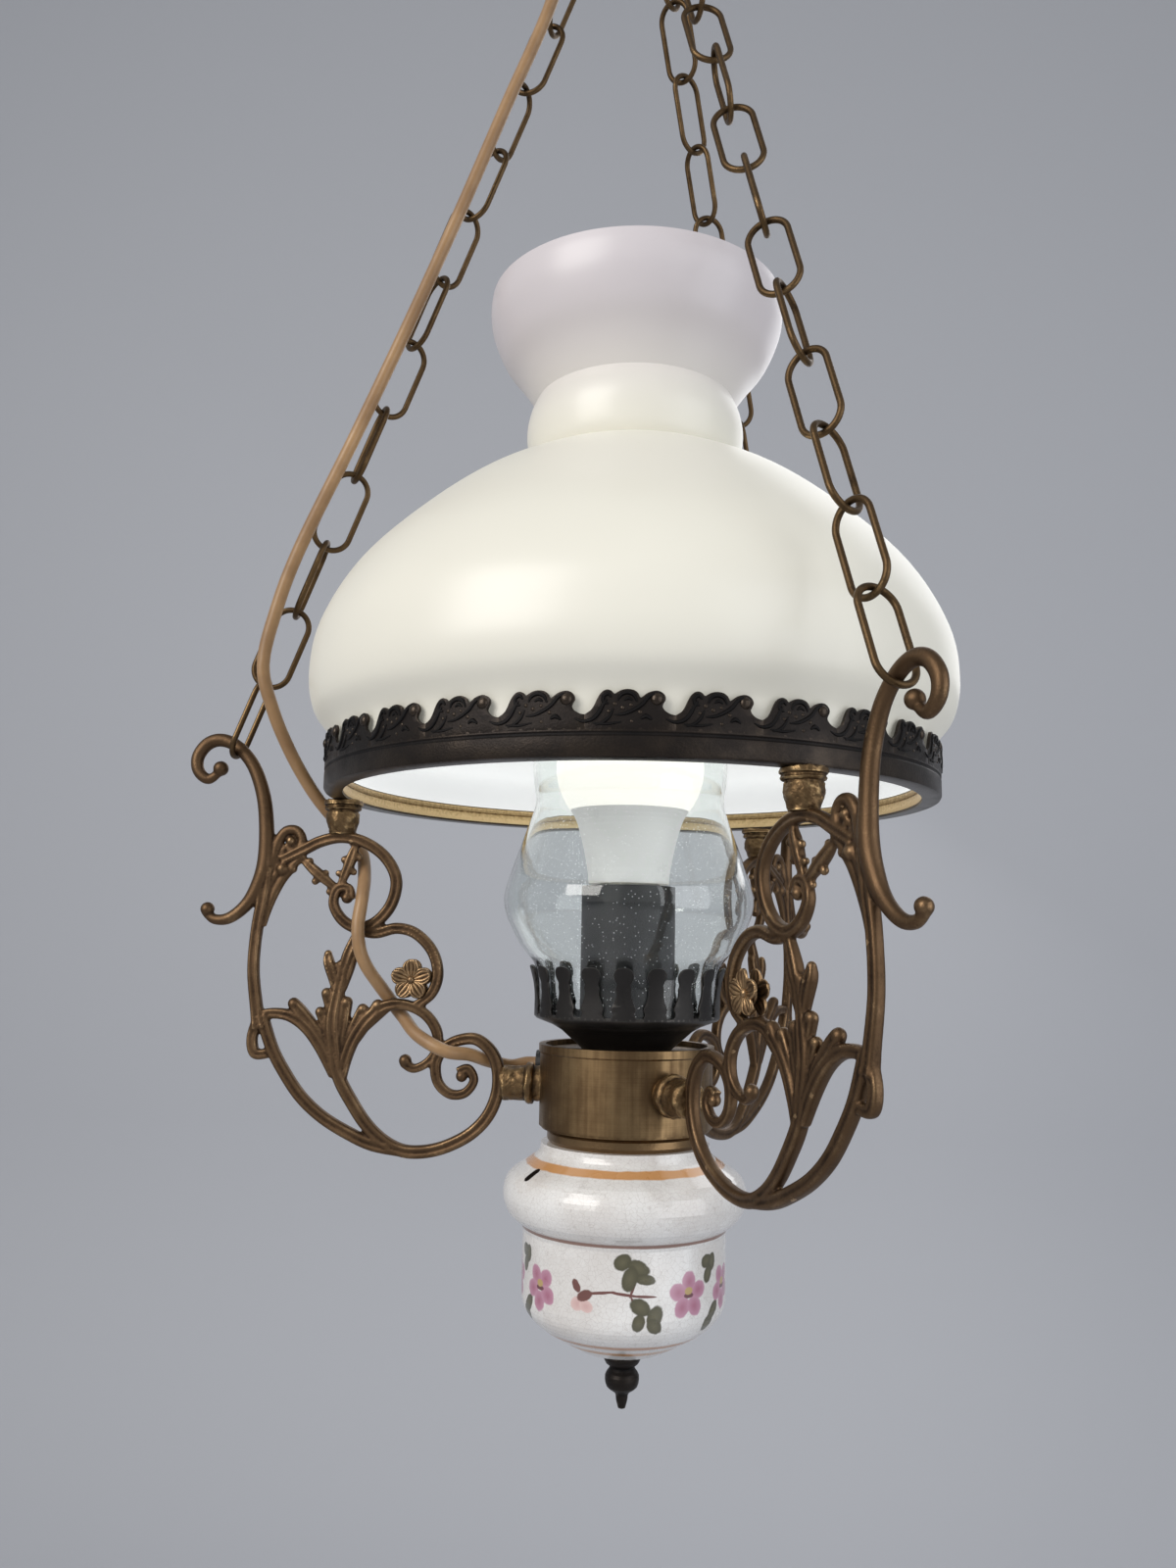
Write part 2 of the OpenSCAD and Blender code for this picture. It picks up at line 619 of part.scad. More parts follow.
font_line = smooth([
  [font_top_r, 0], [font_top_r + 0.8, -3.5], [font_top_r + 5, -7], [font_shoulder_r - 2, -12],
  [font_shoulder_r, -19], [font_shoulder_r - 2.3, -26], [font_body_r + 0.8, -30]], 4);
font_bowl = smooth([
  [font_body_r, -font_h + 19], [font_body_r - 1.2, -font_h + 14.5], [font_body_r - 5.5, -font_h + 9.5],
  [font_foot_r + 8, -font_h + 4.5], [font_foot_r, -font_h]], 3);
slot_az = [-144, -24, 96];
slot_half = 1.6;
slot_len = 7;
module slot(h) {
  side = slot_len / 2 - slot_half;
  for (s = [-1, 1]) translate([s * side, 0, 0]) cylinder(r = slot_half, h = h, $fn = 24);
  translate([-side, -slot_half, 0]) cube([2 * side, 2 * slot_half, h]);
}
module font() {
  out = concat(font_line, [[font_body_r, -32.5]], font_bowl);
  n = len(out) - 1;
  hole = rod_r + slip;
  in = [for (i = [n:-1:0]) [out[i][0] - font_wall, min(max(out[i][1], -font_h + font_wall), -font_wall)]];
  color("whitesmoke") from_ring() translate([0, 0, font_top]) difference() {
    rotate_extrude() polygon(concat([[hole, 0]], out, [[hole, -font_h]]));
    rotate_extrude() polygon(concat([[0, -font_h + font_wall]], in, [[0, -font_wall]]));
    for (a = slot_az) rotate(a) translate([font_top_r + 8, 0, -10]) rotate([0, 40, 0])
      translate([0, 0, -2 * font_wall]) slot(4 * font_wall);
  }
}
module font_washer() {
  color("#4a3520") from_ring() translate([0, 0, finial_top]) pipe(font_foot_r - 8, rod_r + slip, washer_t);
}
module finial() {
  r = finial_r;
  h = finial_h;
  line = smooth([[r - 1, 0], [r, -2], [r - 1, -4.5], [r - 2.6, -6], [r - 0.8, -9], [r - 1.4, -13],
    [r - 4.6, -h + 6], [2.2, -h + 3.5], [1.4, -h + 0.6]], 3);
  color("#3a2a1c") from_ring() translate([0, 0, finial_top]) difference() {
    rotate_extrude() polygon(concat([[0, 0]], line, [[0, -h]]));
    translate([0, 0, -rod_sink - loose]) cylinder(r = rod_r + slip, h = rod_sink + loose + cut_past);
  }
}
module center_rod() {
  color("silver") from_ring() translate([0, 0, finial_top - rod_sink])
    cylinder(r = rod_r, h = rod_top - finial_top + rod_sink);
}
module rod_nuts() {
  color("silver") from_ring() for (z = [collar_low + collar_wall, rod_top - nut_h]) translate([0, 0, z])
    difference() {
      cylinder(r = nut_r, h = nut_h, $fn = 6);
      translate([0, 0, -cut_past]) cylinder(r = rod_r + slip, h = nut_h + 2 * cut_past);
    }
}

// Gallery
cone_foot_r = 17.5;
cone_top_r = 26;
gallery_foot_r = 29.5;
module gallery_cone() {
  color("#241d1a") from_ring() translate([0, 0, cone_z]) difference() {
    rotate_extrude() polygon([
      [rod_r + slip, 0], [cone_foot_r, 0], [cone_top_r, cone_h - 2], [gallery_foot_r, cone_h],
      [rod_r + slip, cone_h]]);
    lead_bore(0, cone_h);
  }
}
gallery_in = chimney_base_r + 0.6;
key_r = 2.9;
key_w = 5;
key_drop = 15.5;
module gallery_crown() {
  w = gallery_wall;
  in = gallery_in;
  color("#1c1817") from_ring() translate([0, 0, floor_z - floor_t]) difference() {
    rotate_extrude() polygon([
      [rod_r + slip, 0], [gallery_foot_r, 0], [in + w, slope_h], [in + w, slope_h + 5],
      [in + w + 0.8, prong_h - 7], [in + w + 2.6, prong_h - 2], [in + w + 3, prong_h],
      [in + 2.2, prong_h], [in + 1.8, prong_h - 2],
      [in, prong_h - 7], [in, slope_h + floor_t], [gallery_foot_r, floor_t], [rod_r + slip, floor_t]]);
    for (k = [0:prongs - 1]) rotate(360 * k / prongs) translate([in - 2, 0, prong_h - key_drop]) {
      rotate([0, 90, 0]) cylinder(r = key_r, h = 8, $fn = 24);
      translate([0, -key_w / 2, 0]) cube([8, key_w, key_drop + cut_past]);
    }
    lead_bore(0, floor_t);
  }
}

// Lampholder
module holder_sleeve() {
  color("#2a2624") from_ring() translate([0, 0, floor_z]) difference() {
    cylinder(r = holder_r, h = holder_h);
    translate([0, 0, holder_base_t]) cylinder(r = holder_r - holder_wall, h = holder_h);
    translate([0, 0, -1]) cylinder(r = rod_r + slip, h = holder_base_t + 2);
    lead_bore(0, holder_base_t);
  }
}
module holder_insulator() {
  color("ivory") from_ring() difference() {
    translate([0, 0, insulator_low]) cylinder(r = insulator_r, h = insulator_top - insulator_low);
    translate([0, 0, socket_z]) cylinder(r = thread_r + shell_wall + slip, h = holder_h);
  }
}
module holder_shell() {
  color("goldenrod") from_ring() translate([0, 0, socket_z])
    pipe(thread_r + shell_wall, thread_r, insulator_top - socket_z - 1);
}
module holder_contact() {
  color("goldenrod") from_ring() translate([0, 0, socket_z]) cylinder(r = 4, h = contact_t);
}

// Flex, its bush in the collar and the two leads inside
module collar_cord_bush() {
  len = bush_out + 8;
  color("#4a3a2a") from_ring() translate([-collar_r - bush_out, flex_side, flex_in_z]) rotate([0, 90, 0])
    difference() {
      union() {
        cylinder(r = flex_r + bush_wall + bush_lip, h = 2);
        cylinder(r = flex_r + bush_wall, h = len);
      }
      translate([0, 0, -cut_past]) cylinder(r = flex_r + slip, h = len + 2 * cut_past);
    }
}
lead_from = collar_r - 5;
flex_route = [
  [-26, -13, 404], [-38, -13, 352], [-57, -13, 302], [-76, -13, 252], [-96, -13, 202], [-117, -13, 152],
  [-138, -13, 104], [-147, -13, 76], [-151, -12.5, 54], [-147, -9, 36], [-141, -3, 20], [-134, 4, 6],
  [-127, 9, -4], [-119, 11, -12], [-112, 9, -21], [-109, 3, -31], [-108, -3.5, -41],
  [-108.5, -6, -51], [-107.5, -6, -60],
  [-105, -3, -67.5], [-100.5, 3, -75.5], [-95, 5.4, -83], [-90.5, 4, -88], [-84.5, -1.5, -93.5],
  [-77, -5.4, -97.5], [-70, -5.4, -100.3], [-62.5, 0, -101.5], [-55, 6, -104.5], [-47, 11, -106.5],
  [-collar_r - 7, flex_side, flex_in_z], [-collar_r - 2, flex_side, flex_in_z],
  [-lead_from, flex_side, flex_in_z]];
module flex() {
  color("#be9a60") from_ring() tube(smooth(flex_route, 2), flex_r, 8);
}
// Free stretches from the canopy to the first chain link, parted beside the suspension ring
flex_part = [-22, -7, -72];
flex_lean = [1, 3, 10];
flex_end = flex_route[0] + [0, 0, lamp_z];
flex_slope = [3, 0, 13];
flex_top = [
  [flex_top_at[0], flex_top_at[1], -bracket_t - block_h - slip], [-18, 0, -26], [-18, 0, -36],
  [-18, 0, -42],
  flex_part + 2 * flex_lean, flex_part + flex_lean, flex_part + loose * unit(flex_lean)];
flex_next = [
  flex_part, flex_part - flex_lean / 2, flex_part - flex_lean, flex_end + flex_slope,
  flex_end + flex_slope / 2, flex_end + loose * unit(flex_slope)];
module flex_upper() {
  color("#be9a60") tube(smooth(flex_top, 2), flex_r, 8);
}
module flex_middle() {
  color("#be9a60") tube(smooth(flex_next, 2), flex_r, 8);
}
lead_r = 0.7;
lead_side = 1.3;
module lead(s) {
  x = lead_hole[0];
  y = lead_side * s;
  tube(smooth([
    [-lead_from + loose, flex_side + y, flex_in_z], [-lead_from + 2, flex_side + y, flex_in_z],
    [-lead_from + 4, flex_side + y, flex_in_z], [-lead_from + 10, 9 + y, flex_in_z], [-13, 2 + y, -105],
    [x, y, -102.5], [x, y, -98], [x, y, -90], [x, y, insulator_low - slip]], 3), lead_r, 8);
}
module inner_leads() {
  color("white") from_ring() for (s = [-1, 1]) lead(s);
}

// Glass
rim_z = seat_h + loose;
shade_line = smooth([
  [shade_rim_r, rim_z], [ring_in - 2, rim_z + 3], [ring_in - 2 * loose, ring_h],
  [shade_belly_r - 2.2, shade_belly_z - 14], [shade_belly_r, shade_belly_z],
  [shade_belly_r - 3, 64], [shade_belly_r - 15, 86], [shade_belly_r - 35, 107],
  [shade_belly_r - 57, 125], [shade_crease_r + 9, shade_crease_z - 2.5],
  [shade_crease_r, shade_crease_z]], 4);
shade_neck = smooth([
  [shade_crease_r, shade_crease_z], [shade_neck_r - 0.8, shade_crease_z + 4],
  [shade_neck_r, (shade_crease_z + shade_collar_z) / 2], [shade_neck_r - 0.6, shade_collar_z - 5],
  [shade_neck_r - 2.2, shade_collar_z]], 4);
shade_mouth = smooth([
  [shade_neck_r - 2.2, shade_collar_z], [shade_neck_r + 3.5, shade_collar_z + 11],
  [shade_mouth_r - 6, shade_collar_z + 20], [shade_mouth_r - 1.2, shade_top_z - 14],
  [shade_mouth_r, shade_top_z - 6], [shade_mouth_r - 0.5, shade_top_z]], 3);
module shade_glass() {
  line = concat(shade_line, shade_neck, shade_mouth);
  n = len(line) - 1;
  t = shade_wall;
  inner = [for (i = [n:-1:0]) let (d = heading(line, i)) [
    line[i][0] - t * max(d[1], 0.35), min(max(line[i][1] - t * max(-d[0], 0), rim_z), shade_top_z)]];
  color("#f4f0e2", 0.95) from_ring() rotate_extrude($fn = 120) polygon(concat(line, inner));
}
chimney_low = floor_z + slope_h + loose;
chimney_line = smooth([
  [chimney_base_r, chimney_low], [chimney_base_r, chimney_low + 11], [chimney_base_r + 2, -65],
  [chimney_bulge_r - 6, -56], [chimney_bulge_r, -41], [chimney_bulge_r - 3.5, -26],
  [chimney_waist_r + 3.4, -12], [chimney_waist_r, -1], [chimney_tube_r - 0.5, 8],
  [chimney_tube_r, 16], [chimney_tube_r, 40]], 4);
// The chimney is one glass, parted at its waist into a bulge and a tube
waist_at = 28;   // the waist's place among the points of the line
module chimney_part(line) {
  n = len(line) - 1;
  inner = [for (i = [n:-1:0]) [line[i][0] - chimney_wall, line[i][1]]];
  color("#dfe8ee", 0.4) from_ring() rotate_extrude($fn = 96) polygon(concat(line, inner));
}
module chimney_bulge() {
  chimney_part([for (i = [0:waist_at]) chimney_line[i]]);
}
module chimney_glass() {
  chimney_part(concat(
    [chimney_line[waist_at] + [0, slip]], [for (i = [waist_at + 1:len(chimney_line) - 1]) chimney_line[i]],
    [[chimney_tube_r, chimney_top_z]]));
}

// Bulb
cap_ribs = 5;
module bulb_cap() {
  r = thread_r - loose;
  pitch = 3.5;
  start = bulb_low - 4;
  threads = [for (k = [0:cap_ribs - 1], s = [0, 0.5]) [s == 0 ? r : r - 0.7, start - pitch * (k + s)]];
  low = start - pitch * cap_ribs;
  color("silver") from_ring() rotate_extrude() polygon(concat(
    [[0, bulb_low], [r - 0.7, bulb_low]], threads,
    [[r - 1, low], [6, bulb_low - cap_len], [4, bulb_low - cap_len], [3, bulb_low - cap_len - pip_h],
    [0, bulb_low - cap_len - pip_h]]));
}
module bulb_body() {
  color("white") from_ring() rotate_extrude() polygon(concat(
    [[0, bulb_low]], smooth([
      [bulb_foot_r, bulb_low], [bulb_foot_r + 0.6, bulb_low + 6], [bulb_foot_r + 3, bulb_seam_z - 12],
      [bulb_seam_r - 2.4, bulb_seam_z - 4], [bulb_seam_r, bulb_seam_z]], 3), [[0, bulb_seam_z]]));
}
dome_z = bulb_seam_z + sqrt(bulb_r * bulb_r - bulb_seam_r * bulb_seam_r);
module bulb_diffuser() {
  w = diffuser_wall;
  color("#fff6e0") from_ring() difference() {
    translate([0, 0, dome_z]) sphere(bulb_r);
    translate([0, 0, dome_z]) sphere(bulb_r - w);
    translate([0, 0, bulb_seam_z - bulb_r]) cylinder(r = 2 * bulb_r, h = bulb_r);
  }
}
board_r = 20;
board_t = 1.6;
module led_board() {
  color("gold") from_ring() translate([0, 0, bulb_seam_z]) {
    cylinder(r = board_r, h = board_t);
    for (k = [0:5]) rotate(60 * k) translate([board_r - 6, -1.5, board_t]) cube([3, 3, 0.8]);
  }
}

ceiling_bracket();
ceiling_canopy();
canopy_nut();
ceiling_hook();
canopy_cord_bush();
terminal_block();
terminal_screws();
suspension_ring();
chain_crown();
chain_left();
chain_front_right();
chain_back_right();
arm_left();
arm_front_right();
arm_back_right();
arm_ferrules();
ring_cups();
arm_screws();
shade_ring();
ring_screws();
collar_drum();
collar_cap();
neck_ring();
font();
font_washer();
finial();
center_rod();
rod_nuts();
gallery_cone();
gallery_crown();
holder_sleeve();
holder_insulator();
holder_shell();
holder_contact();
collar_cord_bush();
inner_leads();
flex_upper();
flex_middle();
flex();
shade_glass();
chimney_bulge();
chimney_glass();
bulb_cap();
bulb_body();
bulb_diffuser();
led_board();
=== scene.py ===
import math
import bpy
from mathutils import Matrix, Vector


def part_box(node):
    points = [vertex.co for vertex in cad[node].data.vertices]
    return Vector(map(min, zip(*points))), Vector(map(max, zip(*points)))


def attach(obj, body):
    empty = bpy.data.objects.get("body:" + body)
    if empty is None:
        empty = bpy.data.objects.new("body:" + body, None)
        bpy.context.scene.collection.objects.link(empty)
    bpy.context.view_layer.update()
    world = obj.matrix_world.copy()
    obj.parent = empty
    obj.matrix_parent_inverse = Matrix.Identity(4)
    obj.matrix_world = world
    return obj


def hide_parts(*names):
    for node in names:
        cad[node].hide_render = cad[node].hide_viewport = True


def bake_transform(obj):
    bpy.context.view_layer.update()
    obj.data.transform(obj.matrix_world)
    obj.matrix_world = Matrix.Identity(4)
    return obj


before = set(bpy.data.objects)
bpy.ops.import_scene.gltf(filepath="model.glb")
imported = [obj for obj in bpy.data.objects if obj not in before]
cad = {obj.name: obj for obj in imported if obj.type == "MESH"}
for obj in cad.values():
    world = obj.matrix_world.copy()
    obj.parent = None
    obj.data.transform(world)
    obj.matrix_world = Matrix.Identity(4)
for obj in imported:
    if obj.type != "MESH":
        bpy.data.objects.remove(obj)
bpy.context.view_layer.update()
mm = 0.001
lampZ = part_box("shade_ring")[0].z  # underside of the shade ring, which the lamp's pieces are measured from
toLamp = Matrix.Translation((0, 0, lampZ))
print("frame loaded:", len(cad), "nodes, ring at", round(lampZ, 4))


# small helpers

def deselect():
    bpy.ops.object.select_all(action="DESELECT")


def pick(obj):
    deselect()
    obj.select_set(True)
    bpy.context.view_layer.objects.active = obj


def editAll(obj):
    pick(obj)
    bpy.ops.object.mode_set(mode="EDIT")
    bpy.ops.mesh.select_all(action="SELECT")


def editDone():
    bpy.ops.object.mode_set(mode="OBJECT")


def addObject(name, data):
    obj = bpy.data.objects.new(name, data)
    bpy.context.scene.collection.objects.link(obj)
    return obj


def copyOf(obj, name):
    return addObject(name, obj.data.copy())


def bend(a, b, c, d, t):
    square, cube = 2 * a - 5 * b + 4 * c - d, 3 * b - a - 3 * c + d
    return 0.5 * (2 * b + (c - a) * t + square * t * t + cube * t ** 3)


def smoothLine(points, steps):
    p = [Vector(q) for q in points]
    n = len(p) - 1
    line = [bend(p[max(i - 1, 0)], p[i], p[i + 1], p[min(i + 2, n)], k / steps)
            for i in range(n) for k in range(steps)]
    return line + [p[n]]


def addCurve(name, line, closed=False, radii=None, depth=0.0, profile=None, flat=False):
    data = bpy.data.curves.new(name, "CURVE")
    data.dimensions = "2D" if flat else "3D"
    data.twist_mode = "Z_UP"
    data.bevel_depth = depth
    data.bevel_resolution = 3
    data.use_fill_caps = not flat
    if profile:
        data.bevel_mode = "OBJECT"
        data.bevel_object = profile
    spline = data.splines.new("POLY")
    spline.points.add(len(line) - 1)
    spline.use_cyclic_u = closed
    for i, p in enumerate(line):
        spline.points[i].co = (*p, 1.0)
        if radii:
            spline.points[i].radius = radii[i]
    return addObject(name, data)


def toMesh(obj):
    pick(obj)
    bpy.ops.object.convert(target="MESH")
    return bpy.context.object


def joinAll(objs, name):
    deselect()
    for o in objs:
        o.select_set(True)
    bpy.context.view_layer.objects.active = objs[0]
    bpy.ops.object.join()
    objs[0].name = name
    objs[0].data.name = name
    return objs[0]


def cleanMesh(obj):
    editAll(obj)
    bpy.ops.mesh.remove_doubles(threshold=1e-6)
    bpy.ops.mesh.normals_make_consistent(inside=False)
    editDone()


def smoothShade(obj, angle):
    pick(obj)
    bpy.ops.object.shade_smooth_by_angle(angle=math.radians(angle))


def applyModifier(obj, kind, **values):
    pick(obj)
    mod = obj.modifiers.new(kind.lower(), kind)
    for key, value in values.items():
        setattr(mod, key, value)
    bpy.ops.object.modifier_apply(modifier=mod.name)


def turnBy(degrees, axis):
    return Matrix.Rotation(math.radians(degrees), 4, axis)


def place(obj, matrix):
    obj.data.transform(matrix)
    obj.data.update()


def lathe(name, points, steps, angle):
    # closed profile of (radius, height) in mm, spun about the lamp's axis
    obj = toMesh(addCurve(name, [(r * mm, 0, z * mm) for r, z in points], closed=True))
    editAll(obj)
    bpy.ops.mesh.spin(steps=steps, angle=2 * math.pi, center=(0, 0, 0), axis=(0, 0, 1))
    editDone()
    cleanMesh(obj)
    place(obj, toLamp)
    smoothShade(obj, angle)
    return obj


def ball(at, radius, squash=(1, 1, 1), detail=3):
    deselect()
    bpy.ops.mesh.primitive_ico_sphere_add(subdivisions=detail, radius=radius * mm, location=(0, 0, 0))
    obj = bpy.context.object
    place(obj, Matrix.Translation(Vector(at) * mm) @ Matrix.Diagonal((*squash, 1)))
    return obj


def finishPiece(obj, body, slot, material, *replaced):
    obj.data.materials.clear()
    obj.data.materials.append(material)
    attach(obj, body)
    if replaced:
        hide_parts(*replaced)


# camera at the photograph's angle, from the fit to ring, chains and font
shot = {"eye": (17.2, -491.7, -566.4), "turn": 4.0, "pitch": 7.64, "roll": 1.05, "focal": 1242.0, "tall": 1600.0,
        "sensor": 36.0, "nearest": 0.01}


def addCamera():
    data = bpy.data.cameras.new("camera")
    data.sensor_fit = "VERTICAL"
    data.sensor_height = shot["sensor"]
    data.lens = shot["focal"] / shot["tall"] * shot["sensor"]
    data.clip_start = shot["nearest"]
    turn, pitch, roll = (math.radians(shot[k]) for k in ("turn", "pitch", "roll"))
    ahead = Vector((-math.sin(turn) * math.cos(pitch), math.cos(turn) * math.cos(pitch), math.sin(pitch)))
    side = Vector((math.cos(turn), math.sin(turn), 0))
    right = math.cos(roll) * side + math.sin(roll) * side.cross(ahead)
    matrix = Matrix((right, right.cross(ahead), -ahead)).transposed().to_4x4()
    matrix.translation = Vector(shot["eye"]) * mm
    obj = addObject("camera", data)
    obj.matrix_world = matrix
    bpy.context.scene.camera = obj


# studio in metres: a pale sweep, a soft world and three area lamps, each with place, size, power and colour
studio = {"floor": -1.35, "front": -4.0, "wall": 1.5, "top": 3.0, "width": 6.0, "round": 0.5, "paint": (0.5, 0.51, 0.54),
          "matt": 0.9, "air": (0.92, 0.95, 1.0), "airLight": 0.42, "aim": (0, 0, -0.55)}
lamps = {
    "keyLamp": ((-1.1, -1.3, 0.25), (1.1, 1.4), 26, (1.0, 0.97, 0.93)),
    "fillLamp": ((1.3, -0.9, -0.35), (1.5, 1.6), 13, (0.95, 0.97, 1.0)),
    "rimLamp": ((0.5, 1.1, 0.2), (1.2, 1.0), 5, (1.0, 1.0, 1.0)),
}


def addStage():
    s, bow = studio, studio["round"]
    arc = [(s["wall"] - bow + bow * math.sin(a), s["floor"] + bow * (1 - math.cos(a)))
           for a in [math.radians(9 * k) for k in range(11)]]
    line = [(s["front"], s["floor"])] + arc + [(s["wall"], s["top"])]
    sweepWall = toMesh(addCurve("sweep", [(-s["width"] / 2, y, z) for y, z in line]))
    editAll(sweepWall)
    bpy.ops.mesh.extrude_region_move(TRANSFORM_OT_translate={"value": (s["width"], 0, 0)})
    editDone()
    smoothShade(sweepWall, 40)
    paint = bpy.data.materials.new("sweepPaint")
    paint.use_nodes = True
    bsdf = paint.node_tree.nodes["Principled BSDF"]
    bsdf.inputs["Base Color"].default_value = (*s["paint"], 1)
    bsdf.inputs["Roughness"].default_value = s["matt"]
    sweepWall.data.materials.append(paint)


def addLight():
    world = bpy.data.worlds.new("studioAir")
    world.use_nodes = True
    back = world.node_tree.nodes["Background"]
    back.inputs["Color"].default_value = (*studio["air"], 1)
    back.inputs["Strength"].default_value = studio["airLight"]
    bpy.context.scene.world = world
    for name, (at, size, power, color) in lamps.items():
        data = bpy.data.lights.new(name, "AREA")
        data.shape = "RECTANGLE"
        data.size, data.size_y = size
        data.energy = power
        data.color = color
        obj = addObject(name, data)
        obj.location = at
        obj.rotation_euler = (Vector(studio["aim"]) - Vector(at)).to_track_quat("-Z", "Y").to_euler()


bpy.context.scene.view_settings.view_transform = "Standard"
addCamera()
addStage()
addLight()
print("camera, stage and lamps in place")


# finishes: node helpers and groups first, then one material each
socketNames = {"metal": "Metallic", "rough": "Roughness", "coat": "Coat Weight", "coatRough": "Coat Roughness", "ior": "IOR",
               "through": "Transmission Weight", "glow": "Emission Strength", "color": "Base Color",
               "glowColor": "Emission Color", "sheen": "Sheen Weight"}


def wire(tree, value, socket):
    # a link from another node, or a plain value
    if hasattr(value, "links"):
        tree.links.new(value, socket)
    else:
        socket.default_value = (*value, 1) if socket.type == "RGBA" else value


def feed(tree, node, **values):
    for key, value in values.items():
        wire(tree, value, node.inputs[socketNames.get(key, key)])


def addNode(tree, kind, **values):
    node = tree.nodes.new("ShaderNode" + kind)
    for key, value in values.items():
        setattr(node, key, value)
    return node


def mathNode(tree, what, *values):
    node = addNode(tree, "Math", operation=what)
    for i, v in enumerate(values):
        wire(tree, v, node.inputs[i])
    return node.outputs[0]


def plus(tree, a, b):
    return mathNode(tree, "ADD", a, b)


def minus(tree, a, b):
    return mathNode(tree, "SUBTRACT", a, b)


def times(tree, a, b):
    return mathNode(tree, "MULTIPLY", a, b)


def vectorNode(tree, what, *values):
    node = addNode(tree, "VectorMath", operation=what)
    for i, v in enumerate(values):
        wire(tree, v, node.inputs[i])
    return node.outputs["Value" if what == "LENGTH" else "Vector"]


def mixColor(tree, factor, a, b):
    node = addNode(tree, "Mix", data_type="RGBA")
    for i, v in ((0, factor), (6, a), (7, b)):
        wire(tree, v, node.inputs[i])
    return node.outputs[2]


def mapRange(tree, value, low, high, toLow=0.0, toHigh=1.0, soft=True):
    node = addNode(tree, "MapRange", interpolation_type="SMOOTHSTEP" if soft else "LINEAR")
    for i, v in enumerate((value, low, high, toLow, toHigh)):
        wire(tree, v, node.inputs[i])
    return node.outputs[0]


def noise(tree, vector, scale, detail):
    node = addNode(tree, "TexNoise")
    feed(tree, node, Vector=vector, Scale=scale, Detail=detail, Roughness=0.55)
    return node.outputs[0]


def splitPlace(tree, coords):
    node = addNode(tree, "SeparateXYZ")
    feed(tree, node, Vector=coords)
    return node.outputs


def newGroup(name, inputs, outputs):
    # sockets as words of label and kind
    group = bpy.data.node_groups.new(name, "ShaderNodeTree")
    for side, words in (("INPUT", inputs), ("OUTPUT", outputs)):
        for word in words.split():
            label, kind = word.split(":")
            group.interface.new_socket(label, in_out=side, socket_type="NodeSocket" + kind)
    return group, group.nodes.new("NodeGroupInput").outputs, group.nodes.new("NodeGroupOutput")


patinaLook = {"blotch": 0.55, "grain": 0.18, "edge": (0.44, 0.58, 0.15, 0.85), "hollow": (0.22, 0.5), "ridge": (0.52, 0.85),
              "rough": (0.2, 0.9, 0.58, 0.3), "relief": 0.6, "depth": 0.0003}
# the second scale gives long vertical streaks, partly scratches and partly painted reflection
turnedLook = {"marks": (40, 40, 3500), "scratchGlints": (420, 420, 16), "stain": 75, "shares": (0.12, 0.5, 0.38),
              "bright": (0.38, 0.68), "rough": (0.35, 0.75, 0.5, 0.24), "relief": 0.4, "bump": 0.12, "depth": 0.0001}
speckLook = {"spot": (0.06, 0.2), "cells": 700, "cloud": 60, "dim": 0.86, "bump": 0.1, "depth": 0.0001}


def makePatina():
    # old metal: dark in the hollows, rubbed bright on the ridges, with blotches and a fine cast grain
    look = patinaLook
    g, i, o = newGroup("patina", "Vector:Vector Edge:Float Hollow:Color Body:Color Ridge:Color Blotch:Float Grain:Float",
                       "Color:Color Roughness:Float Height:Float")
    blotch = noise(g, i["Vector"], i["Blotch"], 5)
    grain = noise(g, i["Vector"], i["Grain"], 2)
    shift = plus(g, i["Edge"], times(g, minus(g, blotch, 0.5), look["blotch"]))
    shift = plus(g, shift, times(g, minus(g, grain, 0.5), look["grain"]))
    low = mixColor(g, mapRange(g, shift, *look["hollow"]), i["Hollow"], i["Body"])
    feed(g, o, Color=mixColor(g, mapRange(g, shift, *look["ridge"]), low, i["Ridge"]),
         Roughness=mapRange(g, shift, *look["rough"]), Height=plus(g, grain, times(g, blotch, look["relief"])))
    return g


def makeTurned():
    # lathe marks round the axis and long vertical streaks, partly scratches and partly painted reflection
    look = turnedLook
    g, i, o = newGroup("turned", "Vector:Vector Dull:Color Bright:Color", "Color:Color Roughness:Float Height:Float")

    def stretched(scale, detail):
        node = addNode(g, "Mapping")
        feed(g, node, Vector=i["Vector"], Scale=scale)
        return noise(g, node.outputs[0], 1.0, detail)

    # the long streaks lighten the colour in bands: partly scratches, partly painted reflection
    lines, scratchAndGlint = stretched(look["marks"], 4), stretched(look["scratchGlints"], 3)
    stain = noise(g, i["Vector"], look["stain"], 5)
    parts = [times(g, part, share) for part, share in zip((lines, stain, scratchAndGlint), look["shares"])]
    tone = plus(g, plus(g, parts[0], parts[1]), parts[2])
    feed(g, o, Color=mixColor(g, mapRange(g, tone, *look["bright"]), i["Dull"], i["Bright"]),
         Roughness=mapRange(g, tone, *look["rough"]), Height=plus(g, times(g, lines, look["relief"]), scratchAndGlint))
    return g


def makeSpeck():
    # dust and small marks as a mask
    g, i, o = newGroup("speck", "Vector:Vector Scale:Float Share:Float", "Mask:Float")
    cell = addNode(g, "TexVoronoi")
    feed(g, cell, Vector=i["Vector"], Scale=i["Scale"])
    spot = mapRange(g, cell.outputs["Distance"], *speckLook["spot"], 1.0, 0.0)
    part = addNode(g, "SeparateColor")
    feed(g, part, Color=cell.outputs["Color"])
    feed(g, o, Mask=times(g, spot, mathNode(g, "LESS_THAN", part.outputs[0], i["Share"])))
    return g


